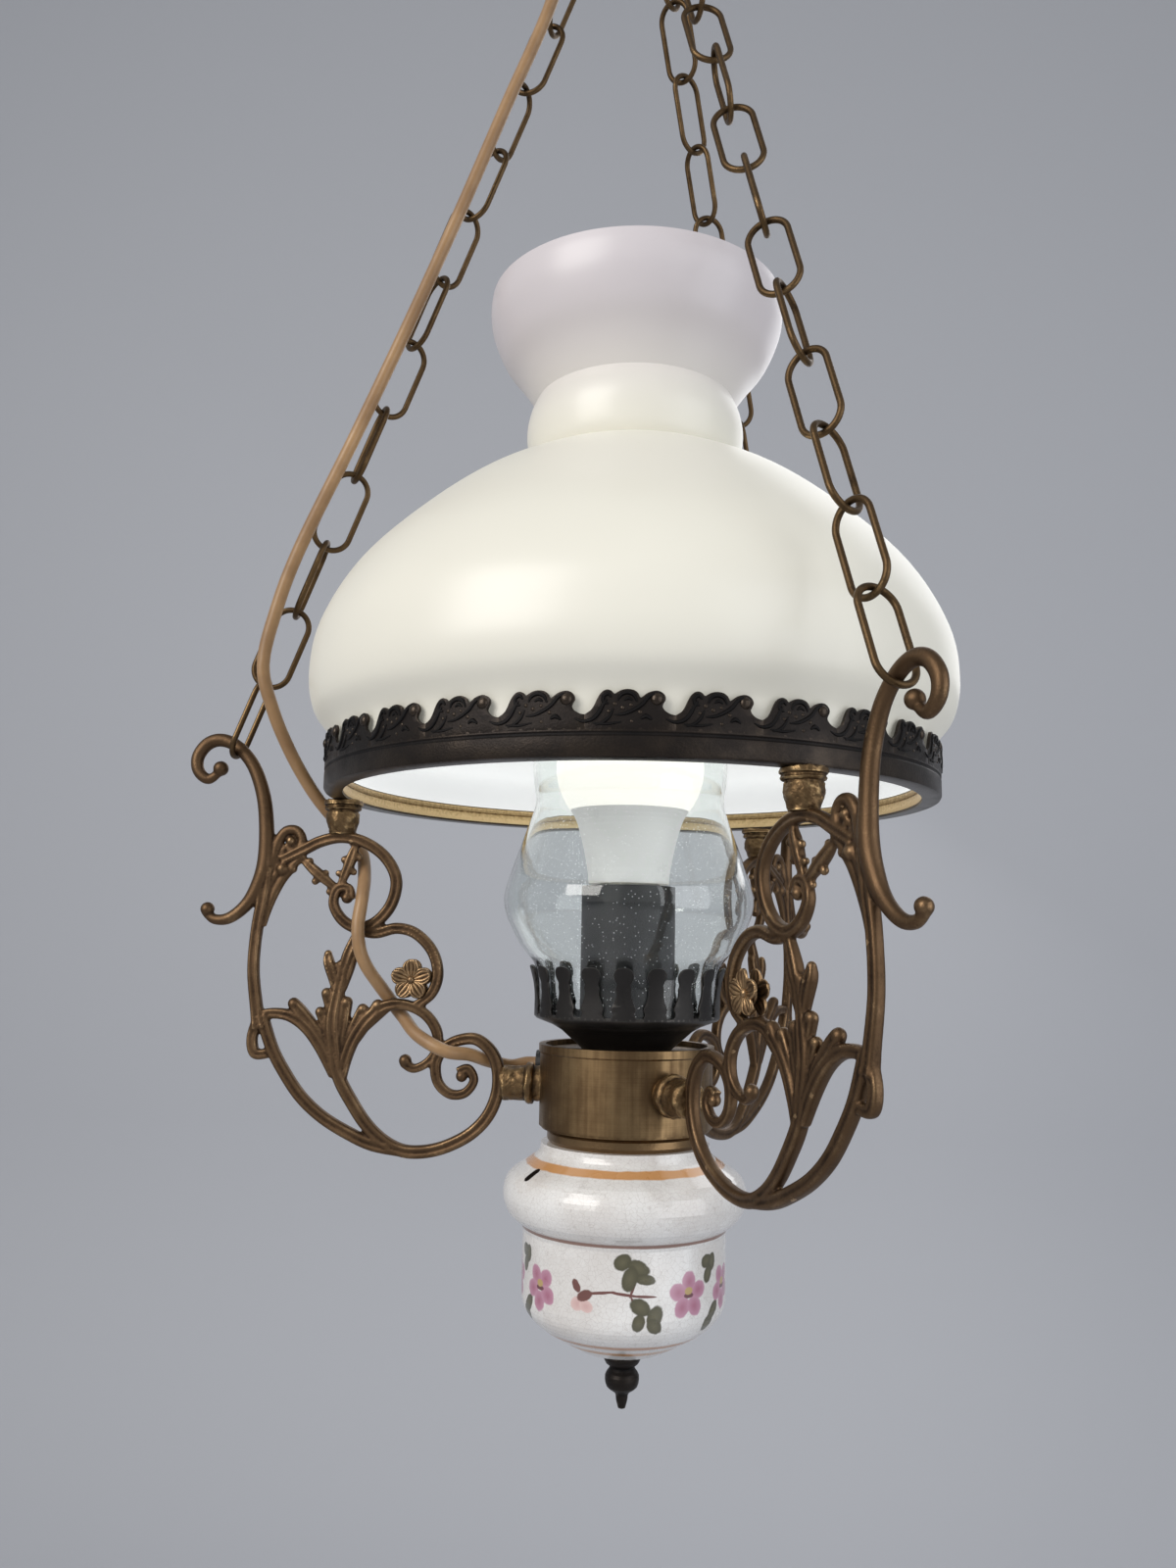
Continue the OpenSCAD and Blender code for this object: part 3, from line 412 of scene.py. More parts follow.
def makePetal():
    # soft-edged oval of paint at a place on the font's side, turned by an angle
    g, i, o = newGroup("petal", "Vector:Vector Middle:Vector Turn:Float Size:Vector Ragged:Float", "Mask:Float Depth:Float")
    spun = addNode(g, "VectorRotate", rotation_type="Z_AXIS")
    feed(g, spun, Vector=vectorNode(g, "SUBTRACT", i["Vector"], i["Middle"]), Angle=i["Turn"])
    far = vectorNode(g, "LENGTH", vectorNode(g, "DIVIDE", spun.outputs[0], i["Size"]))
    reach = plus(g, far, times(g, minus(g, noise(g, i["Vector"], 0.55, 3), 0.5), i["Ragged"]))
    feed(g, o, Mask=mapRange(g, reach, 0.84, 1.04, 1.0, 0.0), Depth=mapRange(g, reach, 0.1, 1.0, 0.0, 1.0, False))
    return g


patina, turned, speck, petal = makePatina(), makeTurned(), makeSpeck(), makePetal()


def newMaterial(name, **values):
    mat = bpy.data.materials.new(name)
    mat.use_nodes = True
    tree = mat.node_tree
    bsdf = tree.nodes["Principled BSDF"]
    feed(tree, bsdf, **values)
    return mat, tree, bsdf, addNode(tree, "TexCoord").outputs["Object"]


def useGroup(tree, group, **values):
    node = addNode(tree, "Group")
    node.node_tree = group
    feed(tree, node, **values)
    return node.outputs


def bumpFrom(tree, bsdf, height, strength, depth):
    bump = addNode(tree, "Bump")
    feed(tree, bump, Strength=strength, Distance=depth, Height=height)
    feed(tree, bsdf, Normal=bump.outputs[0])


def oldMetal(name, hollow, body, ridge, blotch=90, grain=1400, bump=0.25, metal=0.95):
    mat, tree, bsdf, coords = newMaterial(name, metal=metal)
    bent = addNode(tree, "NewGeometry").outputs["Pointiness"]
    edge = mapRange(tree, bent, *patinaLook["edge"], False)
    worn = useGroup(tree, patina, Vector=coords, Edge=edge, Hollow=hollow, Body=body, Ridge=ridge,
                    Blotch=blotch, Grain=grain)
    feed(tree, bsdf, color=worn["Color"], rough=worn["Roughness"])
    bumpFrom(tree, bsdf, worn["Height"], bump, patinaLook["depth"])
    return mat


def turnedMetal(name, dull, bright):
    mat, tree, bsdf, coords = newMaterial(name, metal=1.0)
    marks = useGroup(tree, turned, Vector=coords, Dull=dull, Bright=bright)
    feed(tree, bsdf, color=marks["Color"], rough=marks["Roughness"])
    bumpFrom(tree, bsdf, marks["Height"], turnedLook["bump"], turnedLook["depth"])
    return mat


def speckled(name, color, rough, speckColor, share=0.12, **values):
    look = speckLook
    mat, tree, bsdf, coords = newMaterial(name, rough=rough, **values)
    dots = useGroup(tree, speck, Vector=coords, Scale=look["cells"], Share=share)
    cloud = noise(tree, coords, look["cloud"], 4)
    base = mixColor(tree, mapRange(tree, cloud, 0.3, 0.7), tuple(c * look["dim"] for c in color), color)
    feed(tree, bsdf, color=mixColor(tree, dots["Mask"], base, speckColor),
         rough=mapRange(tree, cloud, 0.3, 0.7, rough * 0.8, min(1.0, rough * 1.2)))
    bumpFrom(tree, bsdf, noise(tree, coords, 900, 2), look["bump"], look["depth"])
    return mat


# metals as hollow, body and ridge colours, turned ones as dull and bright
castBrass = oldMetal("castBrass", (0.035, 0.021, 0.013), (0.115, 0.069, 0.037), (0.36, 0.235, 0.125))
brazedBrass = oldMetal("brazedBrass", (0.04, 0.025, 0.014), (0.15, 0.094, 0.046), (0.4, 0.275, 0.135),
                       blotch=300, grain=800, bump=1.0)
chainBrass = oldMetal("chainBrass", (0.025, 0.016, 0.01), (0.1, 0.062, 0.03), (0.25, 0.16, 0.075), blotch=140)
darkBronze = oldMetal("darkBronze", (0.006, 0.005, 0.005), (0.016, 0.012, 0.01), (0.045, 0.033, 0.024), bump=0.3, metal=0.75)
umberMetal = oldMetal("umberMetal", (0.02, 0.012, 0.007), (0.075, 0.043, 0.022), (0.22, 0.14, 0.07), bump=0.2)
blackMetal = oldMetal("blackMetal", (0.008, 0.007, 0.007), (0.02, 0.018, 0.017), (0.06, 0.055, 0.05), bump=0.15, metal=0.6)
gildedLip = oldMetal("gildedLip", (0.14, 0.085, 0.035), (0.46, 0.31, 0.14), (0.72, 0.53, 0.28),
                     blotch=700, grain=1800, bump=1.0)
collarBrass = turnedMetal("collarBrass", (0.12, 0.075, 0.038), (0.3, 0.2, 0.1))
brightBrass = turnedMetal("brightBrass", (0.38, 0.26, 0.11), (0.66, 0.48, 0.22))
zincSteel = turnedMetal("zincSteel", (0.36, 0.36, 0.35), (0.62, 0.62, 0.6))
blackPlastic = speckled("blackPlastic", (0.022, 0.021, 0.021), 0.5, (0.09, 0.085, 0.08))
paleInsulator = speckled("paleInsulator", (0.78, 0.76, 0.7), 0.42, (0.6, 0.57, 0.5), share=0.05)
# the bulb's plastic body glows faintly: painted light from the lit diffuser, since the body is no lamp
bulbShellPaintedGlow = speckled("bulbShellPaintedGlow", (0.88, 0.88, 0.87), 0.34, (0.74, 0.73, 0.71), share=0.04,
                     glow=0.24, glowColor=(1.0, 0.98, 0.95))


# glass: heights between which the opal's painted glow fades and its colour greys as painted shade, its milkiness, and
# the dust on both
opalLook = {"paintedShadeFrom": 0.14, "paintedShadeTo": 0.196, "milk": 9, "dim": 0.96, "cells": 240.0, "share": 0.03, "ripple": 14}
# the clear glass's dust colour is emitted: painted glints on real dust
clearLook = {"tint": (0.955, 0.98, 0.965), "cells": 760.0, "share": 0.42, "dustGlint": (0.75, 0.78, 0.8), "ripple": 28}


def makeOpal(name, glow, low, high, paintedLightLow, paintedLightHigh):
    # opal glass: the light of the bulb behind it is painted on as a glow, brightest at the belly; the flared mouth is
    # painted greyer and dimmer, as painted shade
    look = opalLook
    mat, tree, bsdf, coords = newMaterial(name, coat=0.1, coatRough=0.25, glow=glow)
    # painted shade: from the neck up the colour greys and the painted glow fades
    rise = mapRange(tree, splitPlace(tree, coords)["Z"], lampZ + look["paintedShadeFrom"], lampZ + look["paintedShadeTo"])
    milk = noise(tree, coords, look["milk"], 3)
    body = mixColor(tree, mapRange(tree, milk, 0.35, 0.7), tuple(c * look["dim"] for c in low), low)
    dots = useGroup(tree, speck, Vector=coords, Scale=look["cells"], Share=look["share"])
    feed(tree, bsdf, color=mixColor(tree, rise, body, high), glowColor=mixColor(tree, rise, paintedLightLow, paintedLightHigh),
         rough=mapRange(tree, dots["Mask"], 0, 1, 0.34, 0.5, False))
    bumpFrom(tree, bsdf, noise(tree, coords, look["ripple"], 2), 0.1, 0.0015)
    return mat


def makeClear():
    # clear glass with a dusting of small marks, real dust that glows white as painted glints
    look = clearLook
    mat, tree, bsdf, coords = newMaterial("clearGlass", rough=0.02, through=1.0, ior=1.47, color=look["tint"], glow=0.45)
    dots = useGroup(tree, speck, Vector=coords, Scale=look["cells"], Share=look["share"])
    # the dust marks emit light: painted glints on real dust
    feed(tree, bsdf, rough=mapRange(tree, dots["Mask"], 0, 1, 0.02, 0.5, False),
         glowColor=mixColor(tree, dots["Mask"], (0, 0, 0), look["dustGlint"]))
    bumpFrom(tree, bsdf, noise(tree, coords, look["ripple"], 2), 0.06, 0.001)
    return mat


def makeDiffuser():
    mat, tree, bsdf, coords = newMaterial("litDiffuser", rough=0.4, glow=0.8)
    cloud = noise(tree, coords, 40, 2)
    feed(tree, bsdf, glowColor=mixColor(tree, cloud, (1.0, 0.95, 0.84), (1.0, 0.98, 0.92)),
         color=mixColor(tree, cloud, (0.92, 0.9, 0.85), (0.95, 0.94, 0.9)))
    return mat


def makeCord():
    # plain gold-brown cord, a little worn
    mat, tree, bsdf, coords = newMaterial("goldCord", sheen=0.15)
    tone = noise(tree, coords, 45, 4)
    feed(tree, bsdf, color=mixColor(tree, mapRange(tree, tone, 0.3, 0.72), (0.24, 0.133, 0.056), (0.37, 0.218, 0.098)),
         rough=mapRange(tree, tone, 0.3, 0.7, 0.5, 0.36))
    bumpFrom(tree, bsdf, noise(tree, coords, 900, 2), 0.08, 0.0001)
    return mat


# white glaze and its crackle
glaze = {"dull": (0.66, 0.63, 0.6), "clean": (0.78, 0.77, 0.75), "crack": (0.36, 0.31, 0.28), "cells": 540, "wobble": 300,
         "shift": (0.002, 0.002, 0.002), "width": 0.06, "strength": 0.34}
# painted garland on the font: middle (angle in degrees from the near side, height), turn, half sizes in mm
garland = {"near": -88.0, "middle": 20.0, "span": 120.0, "radius": 39.3, "petals": 5, "petal": (3.9, 3.3), "eye": (2.3, 1.0),
           "heart": (1.9, 1.4), "heartUp": 1.6}
leaves = [((-0.4, -169.3), 0.5, (3.6, 2.9)), ((8.0, -171.4), -0.5, (4.6, 2.9)), ((11.4, -175.2), -0.15, (4.2, 2.0)),
          ((3.4, -175.0), 1.3, (4.8, 3.0)), ((9.0, -184.6), -0.5, (4.2, 3.0)), ((16.8, -188.0), 1.1, (4.2, 3.0)),
          ((8.2, -190.0), 1.2, (3.4, 2.4)), ((16.6, -191.4), -0.7, (3.4, 2.6)), ((50.6, -171.4), 0.2, (3.2, 2.5)),
          ((55.6, -172.2), 1.4, (3.4, 2.4)), ((51.8, -176.2), 1.2, (3.4, 2.4)), ((53.2, -193.4), 0.9, (3.6, 2.8)),
          ((57.0, -189.6), 0.8, (4.6, 2.4))]
stems = [((-12.5, -180.2), 0.12, (6.6, 0.55)), ((0.5, -180.3), -0.12, (6.4, 0.55)), ((11.0, -181.0), -0.05, (5.0, 0.5)),
         ((5.0, -178.6), 1.2, (3.2, 0.5)), ((5.5, -183.0), -1.1, (2.6, 0.5))]
flowers = [((37, -182), 0.3, 4.8), ((69, -182.4), 0.85, 4.8)]
calyx = [((-20.6, -181.6), 0.45, (3.4, 1.9)), ((-25.4, -178.6), -1.1, (2.6, 1.5))]
buds = [((-24.4, -184.6), 0.5, (3.0, 2.6)), ((-19.6, -185.2), -0.4, (2.8, 2.2))]
paintLines = [(-139.8, 1.2, (0.53, 0.24, 0.06)), (-164.0, 0.6, (0.2, 0.1, 0.07)), (-201.2, 0.9, (0.42, 0.18, 0.06)),
              (-205.2, 1.0, (0.5, 0.23, 0.07))]
paints = {"leaf": (0.075, 0.07, 0.042), "leafEdge": (0.12, 0.11, 0.065), "stem": (0.16, 0.07, 0.06),
          "petal": (0.38, 0.15, 0.22), "petalEdge": (0.5, 0.27, 0.36), "heart": (0.46, 0.33, 0.14), "eye": (0.14, 0.05, 0.06),
          # the vent colour paints the slots dark: painted shade
          "bud": (0.6, 0.4, 0.38), "budEdge": (0.68, 0.5, 0.47), "ventShade": (0.03, 0.022, 0.018)}
# vent slots in the font's shoulder: bearing of one, radius, depth under the top, lean, and half sizes
vents = {"at": -24.0, "count": 3, "radius": 41.0, "drop": 10.0, "lean": 40.0, "run": 1.9, "half": 1.6, "rim": 0.2}


def ventShadeMask(tree, xyz, bearing):
    # painted shade: the slot walls are painted dark for the shade inside the hollow font, in a frame that leans with
    # each slot
    v, half, lean = vents, math.pi / vents["count"], math.radians(vents["lean"])
    angle = mathNode(tree, "WRAP", minus(tree, bearing, math.radians(v["at"])), half, -half)
    squares = [times(tree, xyz[axis], xyz[axis]) for axis in ("X", "Y")]
    reach = times(tree, mathNode(tree, "SQRT", plus(tree, *squares)), 1000.0)
    out = minus(tree, times(tree, reach, mathNode(tree, "COSINE", angle)), v["radius"])
    across = times(tree, reach, mathNode(tree, "SINE", angle))
    up = times(tree, minus(tree, xyz["Z"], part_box("font")[1].z - v["drop"] * mm), 1000.0)
    along = minus(tree, times(tree, out, math.cos(lean)), times(tree, up, math.sin(lean)))
    past = mathNode(tree, "MAXIMUM", minus(tree, mathNode(tree, "ABSOLUTE", along), v["run"]), 0.0)
    away = mathNode(tree, "SQRT", plus(tree, times(tree, past, past), times(tree, across, across)))
    return mapRange(tree, away, v["half"] + 0.02, v["half"] + v["rim"], 1.0, 0.0)


def makeCeramic():
    mat, tree, bsdf, coords = newMaterial("paintedGlaze", coat=0.6, coatRough=0.06, rough=0.25)
    xyz = splitPlace(tree, coords)
    bearing = mathNode(tree, "ARCTAN2", xyz["Y"], xyz["X"])
    far, low = (math.radians(garland["middle"] + side * garland["span"] / 2) for side in (1, -1))
    angle = mathNode(tree, "WRAP", minus(tree, bearing, math.radians(garland["near"])), far, low)
    height = times(tree, minus(tree, xyz["Z"], lampZ), 1000.0)
    flat = addNode(tree, "CombineXYZ")
    feed(tree, flat, X=times(tree, angle, garland["radius"]), Y=height)

    def paintDabs(color, dabs, inner, outer, ragged=0.3):
        for middle, turn, size in dabs:
            dab = useGroup(tree, petal, Vector=flat.outputs[0], Turn=-turn, Size=(*size, 1.0), Ragged=ragged,
                           Middle=(math.radians(middle[0]) * garland["radius"], middle[1], 0))
            color = mixColor(tree, dab["Mask"], color, mixColor(tree, dab["Depth"], paints[inner], paints[outer]))
        return color

    cloud = noise(tree, coords, 45, 4)
    color = mixColor(tree, mapRange(tree, cloud, 0.3, 0.72), glaze["dull"], glaze["clean"])
    wobble = addNode(tree, "TexNoise")
    feed(tree, wobble, Vector=coords, Scale=glaze["wobble"])
    cells = addNode(tree, "TexVoronoi", feature="DISTANCE_TO_EDGE")
    feed(tree, cells, Scale=glaze["cells"],
         Vector=vectorNode(tree, "MULTIPLY_ADD", wobble.outputs["Color"], glaze["shift"], coords))
    crack = mapRange(tree, cells.outputs["Distance"], 0.0, glaze["width"], glaze["strength"], 0.0)
    color = mixColor(tree, crack, color, glaze["crack"])
    color = paintDabs(color, buds, "bud", "budEdge")
    color = paintDabs(color, stems + calyx, "stem", "stem")
    color = paintDabs(color, leaves, "leafEdge", "leaf")
    for middle, turn, reach in flowers:
        around = [turn + 2 * math.pi * k / garland["petals"] for k in range(garland["petals"])]
        spots = [((middle[0] + math.degrees(reach * math.cos(a) / garland["radius"]), middle[1] + reach * math.sin(a)),
                  a, garland["petal"]) for a in around]
        color = paintDabs(color, spots, "petal", "petalEdge", 0.22)
        color = paintDabs(color, [(middle, 0, garland["eye"])], "eye", "eye")
        color = paintDabs(color, [((middle[0], middle[1] + garland["heartUp"]), 0, garland["heart"])], "heart", "heart")
    for level, half, tint in paintLines:
        off = mathNode(tree, "ABSOLUTE", minus(tree, height, level))
        off = plus(tree, off, times(tree, minus(tree, noise(tree, coords, 120, 2), 0.5), half * 0.7))
        color = mixColor(tree, mapRange(tree, off, half * 0.8, half * 1.2, 0.92, 0.0), color, tint)
    # the slots are painted dark inside: painted shade
    feed(tree, bsdf, color=mixColor(tree, ventShadeMask(tree, xyz, bearing), color, paints["ventShade"]),
         rough=mapRange(tree, cloud, 0.3, 0.7, 0.2, 0.34))
    bumpFrom(tree, bsdf, crack, -0.12, 0.0002)
    return mat


# the glow colours are painted light from the bulb; the greyer colour for the mouth is painted shade
opalGlass = makeOpal("opalGlass", 0.1, (0.7, 0.68, 0.6), (0.585, 0.545, 0.56), (1.0, 0.965, 0.82), (0.22, 0.19, 0.19))
# inside faces: a stronger glow, painted light from the bulb within
opalInside = makeOpal("opalInside", 0.42, (0.72, 0.72, 0.7), (0.66, 0.64, 0.66), (0.96, 0.98, 1.0), (0.4, 0.38, 0.4))
clearGlass, litDiffuser, goldCord, paintedGlaze = makeClear(), makeDiffuser(), makeCord(), makeCeramic()
print("finishes made")


# shade and chimney: glass walls, spun from the same lines as the solids, in mm
ring = {"radius": 122.0, "wall": 1.4, "crest": 21.5, "lip": 7.5, "rise": 7.5, "motifs": 27, "seat": 0.3, "steps": 162}
shade = {"rim": 117.0, "belly": 129.5, "bellyAt": 46.0, "crease": 41.2, "creaseAt": 140.0, "neck": 45.5, "collarAt": 169.0,
         "mouth": 62.0, "top": 214.0, "wall": 3.0, "dome": [(3, 64), (15, 86), (35, 107), (57, 125)], "steps": 144}


def makeShade():
    s, inner = shade, ring["radius"] - ring["wall"]
    rimZ, belly, neckR, mouthR = ring["rise"] + ring["seat"], s["belly"], s["neck"], s["mouth"]
    crease, creaseAt, collarAt, top = s["crease"], s["creaseAt"], s["collarAt"], s["top"]
    side = smoothLine([(s["rim"], rimZ), (inner - 2, rimZ + 3), (inner - 0.6, ring["crest"]),
                       (belly - 2.2, s["bellyAt"] - 14), (belly, s["bellyAt"])]
                      + [(belly - less, z) for less, z in s["dome"]] + [(crease + 9, creaseAt - 2.5), (crease, creaseAt)], 6)
    neck = smoothLine([(crease, creaseAt), (neckR - 1.6, creaseAt + 5), (neckR, (creaseAt + collarAt) / 2),
                       (neckR - 1.3, collarAt - 6), (neckR - 4, collarAt)], 6)
    mouth = smoothLine([(neckR - 4, collarAt), (neckR + 3.5, collarAt + 11), (mouthR - 6, collarAt + 20),
                        (mouthR - 1.2, top - 14), (mouthR, top - 6), (mouthR - 0.5, top)], 5)
    line = side + neck[1:] + mouth[1:]
    n = len(line) - 1
    inside = []
    for i in range(n, -1, -1):
        d = (line[min(i + 1, n)] - line[max(i - 1, 0)]).normalized()
        x, z = line[i].x - s["wall"] * max(d.y, 0.35), line[i].y - s["wall"] * max(-d.x, 0)
        inside.append((x, min(max(z, rimZ), top)))
    obj = lathe("opalShade", [(p.x, p.y) for p in line] + inside, s["steps"], angle=50)
    finishPiece(obj, "shade", "opal_glass", opalGlass, "shade_glass")
    # the inner faces get opalInside, whose brighter glow is painted light from the bulb
    obj.data.materials.append(opalInside)
    for face in obj.data.polygons:
        face.material_index = int(face.normal.x * face.center.x + face.normal.y * face.center.y < 0)


chimney = {"base": 35.2, "bulge": 50.0, "waist": 38.2, "tube": 39.6, "top": 108.0, "wall": 1.6, "low": -84.2, "rim": 0.4,
           "steps": 128}


def makeChimney():
    c, tube, wall, rim = chimney, chimney["tube"], chimney["wall"], chimney["rim"]
    line = smoothLine([
        (c["base"], c["low"]), (c["base"], c["low"] + 11), (c["base"] + 2, -65), (c["bulge"] - 6, -56), (c["bulge"], -41),
        (c["bulge"] - 3.5, -26), (c["waist"] + 3.4, -12), (c["waist"], -1), (tube - 0.5, 8), (tube, 16), (tube, 40)], 6)
    outer = [(p.x, p.y) for p in line] + [(tube, c["top"] - 2 * rim), (tube - rim, c["top"])]
    inner = [(tube - wall + rim, c["top"]), (tube - wall, c["top"] - 2 * rim)] + [(p.x - wall, p.y) for p in reversed(line)]
    obj = lathe("clearChimney", outer + inner, c["steps"], angle=50)
    finishPiece(obj, "chimney", "clear_glass", clearGlass, "chimney_glass", "chimney_bulge")


makeShade()
makeChimney()
print("glass made")


# cast arms: strokes as (radius, height, half width) in mm, the same lines as the solids
armStems = {
    "hookStem": [(171, 12, 1.6), (176, 8.5, 2.2), (180.5, 12, 2.5), (181, 18, 2.7), (177, 23.5, 2.8), (171, 25, 2.8),
                 (164, 22, 2.7), (157, 14, 2.8), (152, 1, 3.0), (150, -14, 3.2), (150, -27, 3.5), (153, -37, 3.2),
                 (157.5, -44, 2.7), (164, -49, 2.4), (170, -49.5, 2.1), (174, -46.5, 1.8)],
    "foldLow": [(135, -23.8, 1.6), (138.4, -27.2, 1.8), (142, -31.6, 1.8), (145.8, -39, 1.6), (149, -52, 0.9)],
    "foldTip": [(139, -28.8, 1.7), (142.6, -33.4, 1.8), (146, -41, 1.5), (148.6, -50, 0.9)],
    "foldMiddle": [(138.5, -21.5, 1.3), (142.5, -27, 1.9), (146.6, -34, 1.8), (149.4, -46, 1.1)],
    "foldHigh": [(141.5, -19, 1.2), (145.2, -25.5, 1.7), (148.4, -33, 1.6), (150.8, -44, 1.0)],
    "stemVolute": [(149, -29, 2.4), (146.4, -23.5, 2.3), (145, -17.5, 2.2), (141.8, -12.9, 2.1), (137.4, -12.6, 2.0),
                   (134.9, -16, 1.9), (136, -19.8, 1.8), (139.4, -20.8, 1.7), (141.4, -18.2, 1.6)],
}
armStrokes = {
    "outerBow": [(149, -28, 3), (150, -40, 2.6), (152, -54, 2.4), (152.5, -70, 2.4), (150, -87, 2.6), (149, -93, 3)],
    "knuckle": [(149.5, -89, 2.2), (151.5, -97, 2.2), (150, -103, 2.2), (145, -103, 2)],
    "lowerBow": [(148, -88, 2.6), (143, -101, 2.5), (137, -111, 2.5), (130, -120, 2.5), (121, -127.5, 2.5), (110, -133.5, 2.6),
                 (100, -137.5, 2.6), (88, -139.5, 2.4)],
    "leftBranch": [(149, -88, 2.2), (143, -87, 2.2), (136, -88, 2.4), (129, -92.5, 2.6), (123, -100, 2.6), (117, -111, 2.2)],
    "bigScroll": [(121.5, -86, 1.8), (119, -100, 2.2), (115, -112, 2.6), (109, -122, 2.6), (103, -130, 2.6), (96, -136, 2.6),
                  (88, -139.5, 2.6), (79, -139.5, 2.6), (70, -137, 2.6), (61, -132, 2.6), (54.5, -125, 2.6), (51, -116, 2.6),
                  (51, -107, 2.6), (54, -100, 2.5), (60, -95.5, 2.4), (67, -96, 2.3), (72.5, -99, 2.2), (76, -105, 2.2),
                  (75, -112.5, 2.1), (70, -117, 2), (64, -116.5, 1.9), (60.5, -111.5, 1.8), (63, -107, 1.8), (67, -108.5, 2)],
    "overBranch": [(114, -113, 1.8), (112.5, -104, 2.4), (109, -95, 2.6), (103, -87, 2.6), (96, -82.8, 2.4), (88, -82.8, 2.2),
                   (80.5, -86.5, 2.2), (76, -93, 2.2), (76, -100, 2), (79.5, -105, 1.8), (85, -107.5, 1.8), (89, -105, 2.2)],
    "upperLoop": [(143, -25, 2.2), (134, -20.5, 2.4), (127, -17, 2.4), (118.5, -15.2, 2.4), (109, -17, 2.4), (100, -23, 2.4),
                  (95, -32, 2.4), (96.5, -42, 2.4), (102.5, -49.5, 2.4), (110, -52, 2.4), (116.5, -49, 2.3), (120.5, -42.5, 2.1),
                  (119, -36.5, 1.9), (114.5, -36, 1.8), (113.5, -40.5, 2.2)],
    "middleLoop": [(110, -53, 2.2), (102.5, -54, 2.3), (94, -52, 2.3), (86, -54, 2.3), (79, -61, 2.3), (76.5, -70, 2.3),
                   (79, -78, 2.2), (86, -83.5, 1.9)],
}
armLeaves = {
    "sprigs": [[(136, -23, 1.0), (129, -29, 2.2), (122, -34.5, 1.8), (118, -37, 1.2)],
               [(112, -17, 1.2), (114, -24, 2.2), (116.5, -31, 1.8), (118.5, -36, 1.3)]],
    "leaflets": [[(131, -28, 0.9), (131.2, -25.2, 1.5)], [(127, -31, 0.9), (128.6, -33.4, 1.5)],
                 [(124.5, -33, 0.9), (124.4, -30, 1.4)], [(121.5, -35, 0.8), (122.6, -37.6, 1.3)],
                 [(113, -21, 0.9), (110.8, -23.4, 1.5)], [(113.8, -23, 0.9), (116.8, -24.4, 1.5)],
                 [(115, -27, 0.9), (112.8, -29.4, 1.4)], [(116, -29.5, 0.8), (119, -30, 1.3)]],
    "fingers": [[(119, -104, 1.4), (125, -94, 2.3), (131.5, -86.5, 2.6), (135, -83, 2.4)],
                [(118.6, -99, 1.2), (121.5, -91.5, 1.8), (124, -86, 2.0)],
                [(118, -95, 1.2), (119.6, -86, 1.9), (121.6, -78.6, 2.2)],
                [(116, -84, 1.3), (118.6, -74, 2.1), (121.2, -66.5, 2.3), (121.8, -62.8, 1.6)],
                [(115.6, -80, 1.2), (115.6, -72, 2.0), (116.4, -67, 1.8)], [(114.8, -77, 1.2), (113, -69, 2.1), (111, -62, 1.9)],
                [(115.6, -101, 1.3), (114.2, -91, 2.1), (113.2, -82, 2.3)],
                [(114, -102, 1.2), (109.8, -91.5, 2.0), (106.6, -84.6, 2.2)],
                [(112.6, -103, 1.3), (106, -92, 2.2), (100.5, -83, 2.4)], [(110, -97, 1.3), (102, -88.5, 2.0), (94, -81.4, 1.8)]],
    "stalk": [[(109.5, -53, 1.8), (113.5, -63, 2.4), (115.6, -71, 2.0), (117.4, -80, 2.4), (118.6, -92, 2.8), (116, -108, 2.4)]],
}
armEnds = [(171, 13, 3.2), (173.2, -45.4, 2.9), (139.6, -16.9, 2.1), (134.6, -23.4, 1.9), (138.2, -28.4, 1.9), (115, -40, 2.4),
           (65.5, -110, 2.4), (88.5, -104.5, 2.6), (142.4, -28.6, 3.0)]
armFlower = {"at": (87, -72.5), "petals": 5, "from": 0.9, "to": 8.2, "half": 3.5, "stub": 1.0, "widest": 0.52, "face": 1.1,
             "thick": 0.9, "button": 1.7, "boss": 4.6, "bossFlat": 0.36, "cup": 0.9, "rib": 0.2}
armCast = {"voxel": 0.52, "steps": 7, "thick": 0.94, "groove": 0.24, "leafGroove": 0.26, "tip": 1.05,
           "turns": {"arm_left": 180, "arm_front_right": -60, "arm_back_right": 60}}


def ridgedProfile(name, groove):
    # closed section of one stroke: two ridges with a valley on each face, or plain and round
    high, valley = 1.0 - groove * 0.55, 1.0 - groove
    half = [(1.0, 0.0), (0.97, 0.5), (0.8, 0.82), (0.52, 1.0), (0.24, high), (0.0, valley), (-0.24, high), (-0.52, 1.0),
            (-0.8, 0.82), (-0.97, 0.5), (-1.0, 0.0)]
    if not groove:
        half = [(math.cos(a), math.sin(a)) for a in [math.radians(15 * k) for k in range(13)]]
    points = half + [(a, -b) for a, b in reversed(half[1:-1])]
    return addCurve(name, [(a * mm, b * armCast["thick"] * mm, 0) for a, b in points], closed=True)


def sweep(points, profile, steps, fit=1.0):
    line = smoothLine(points, steps)
    points = [(p.x * fit * mm, p.y * mm, 0) for p in line]
    return toMesh(addCurve("stroke", points, radii=[p.z for p in line], profile=profile))


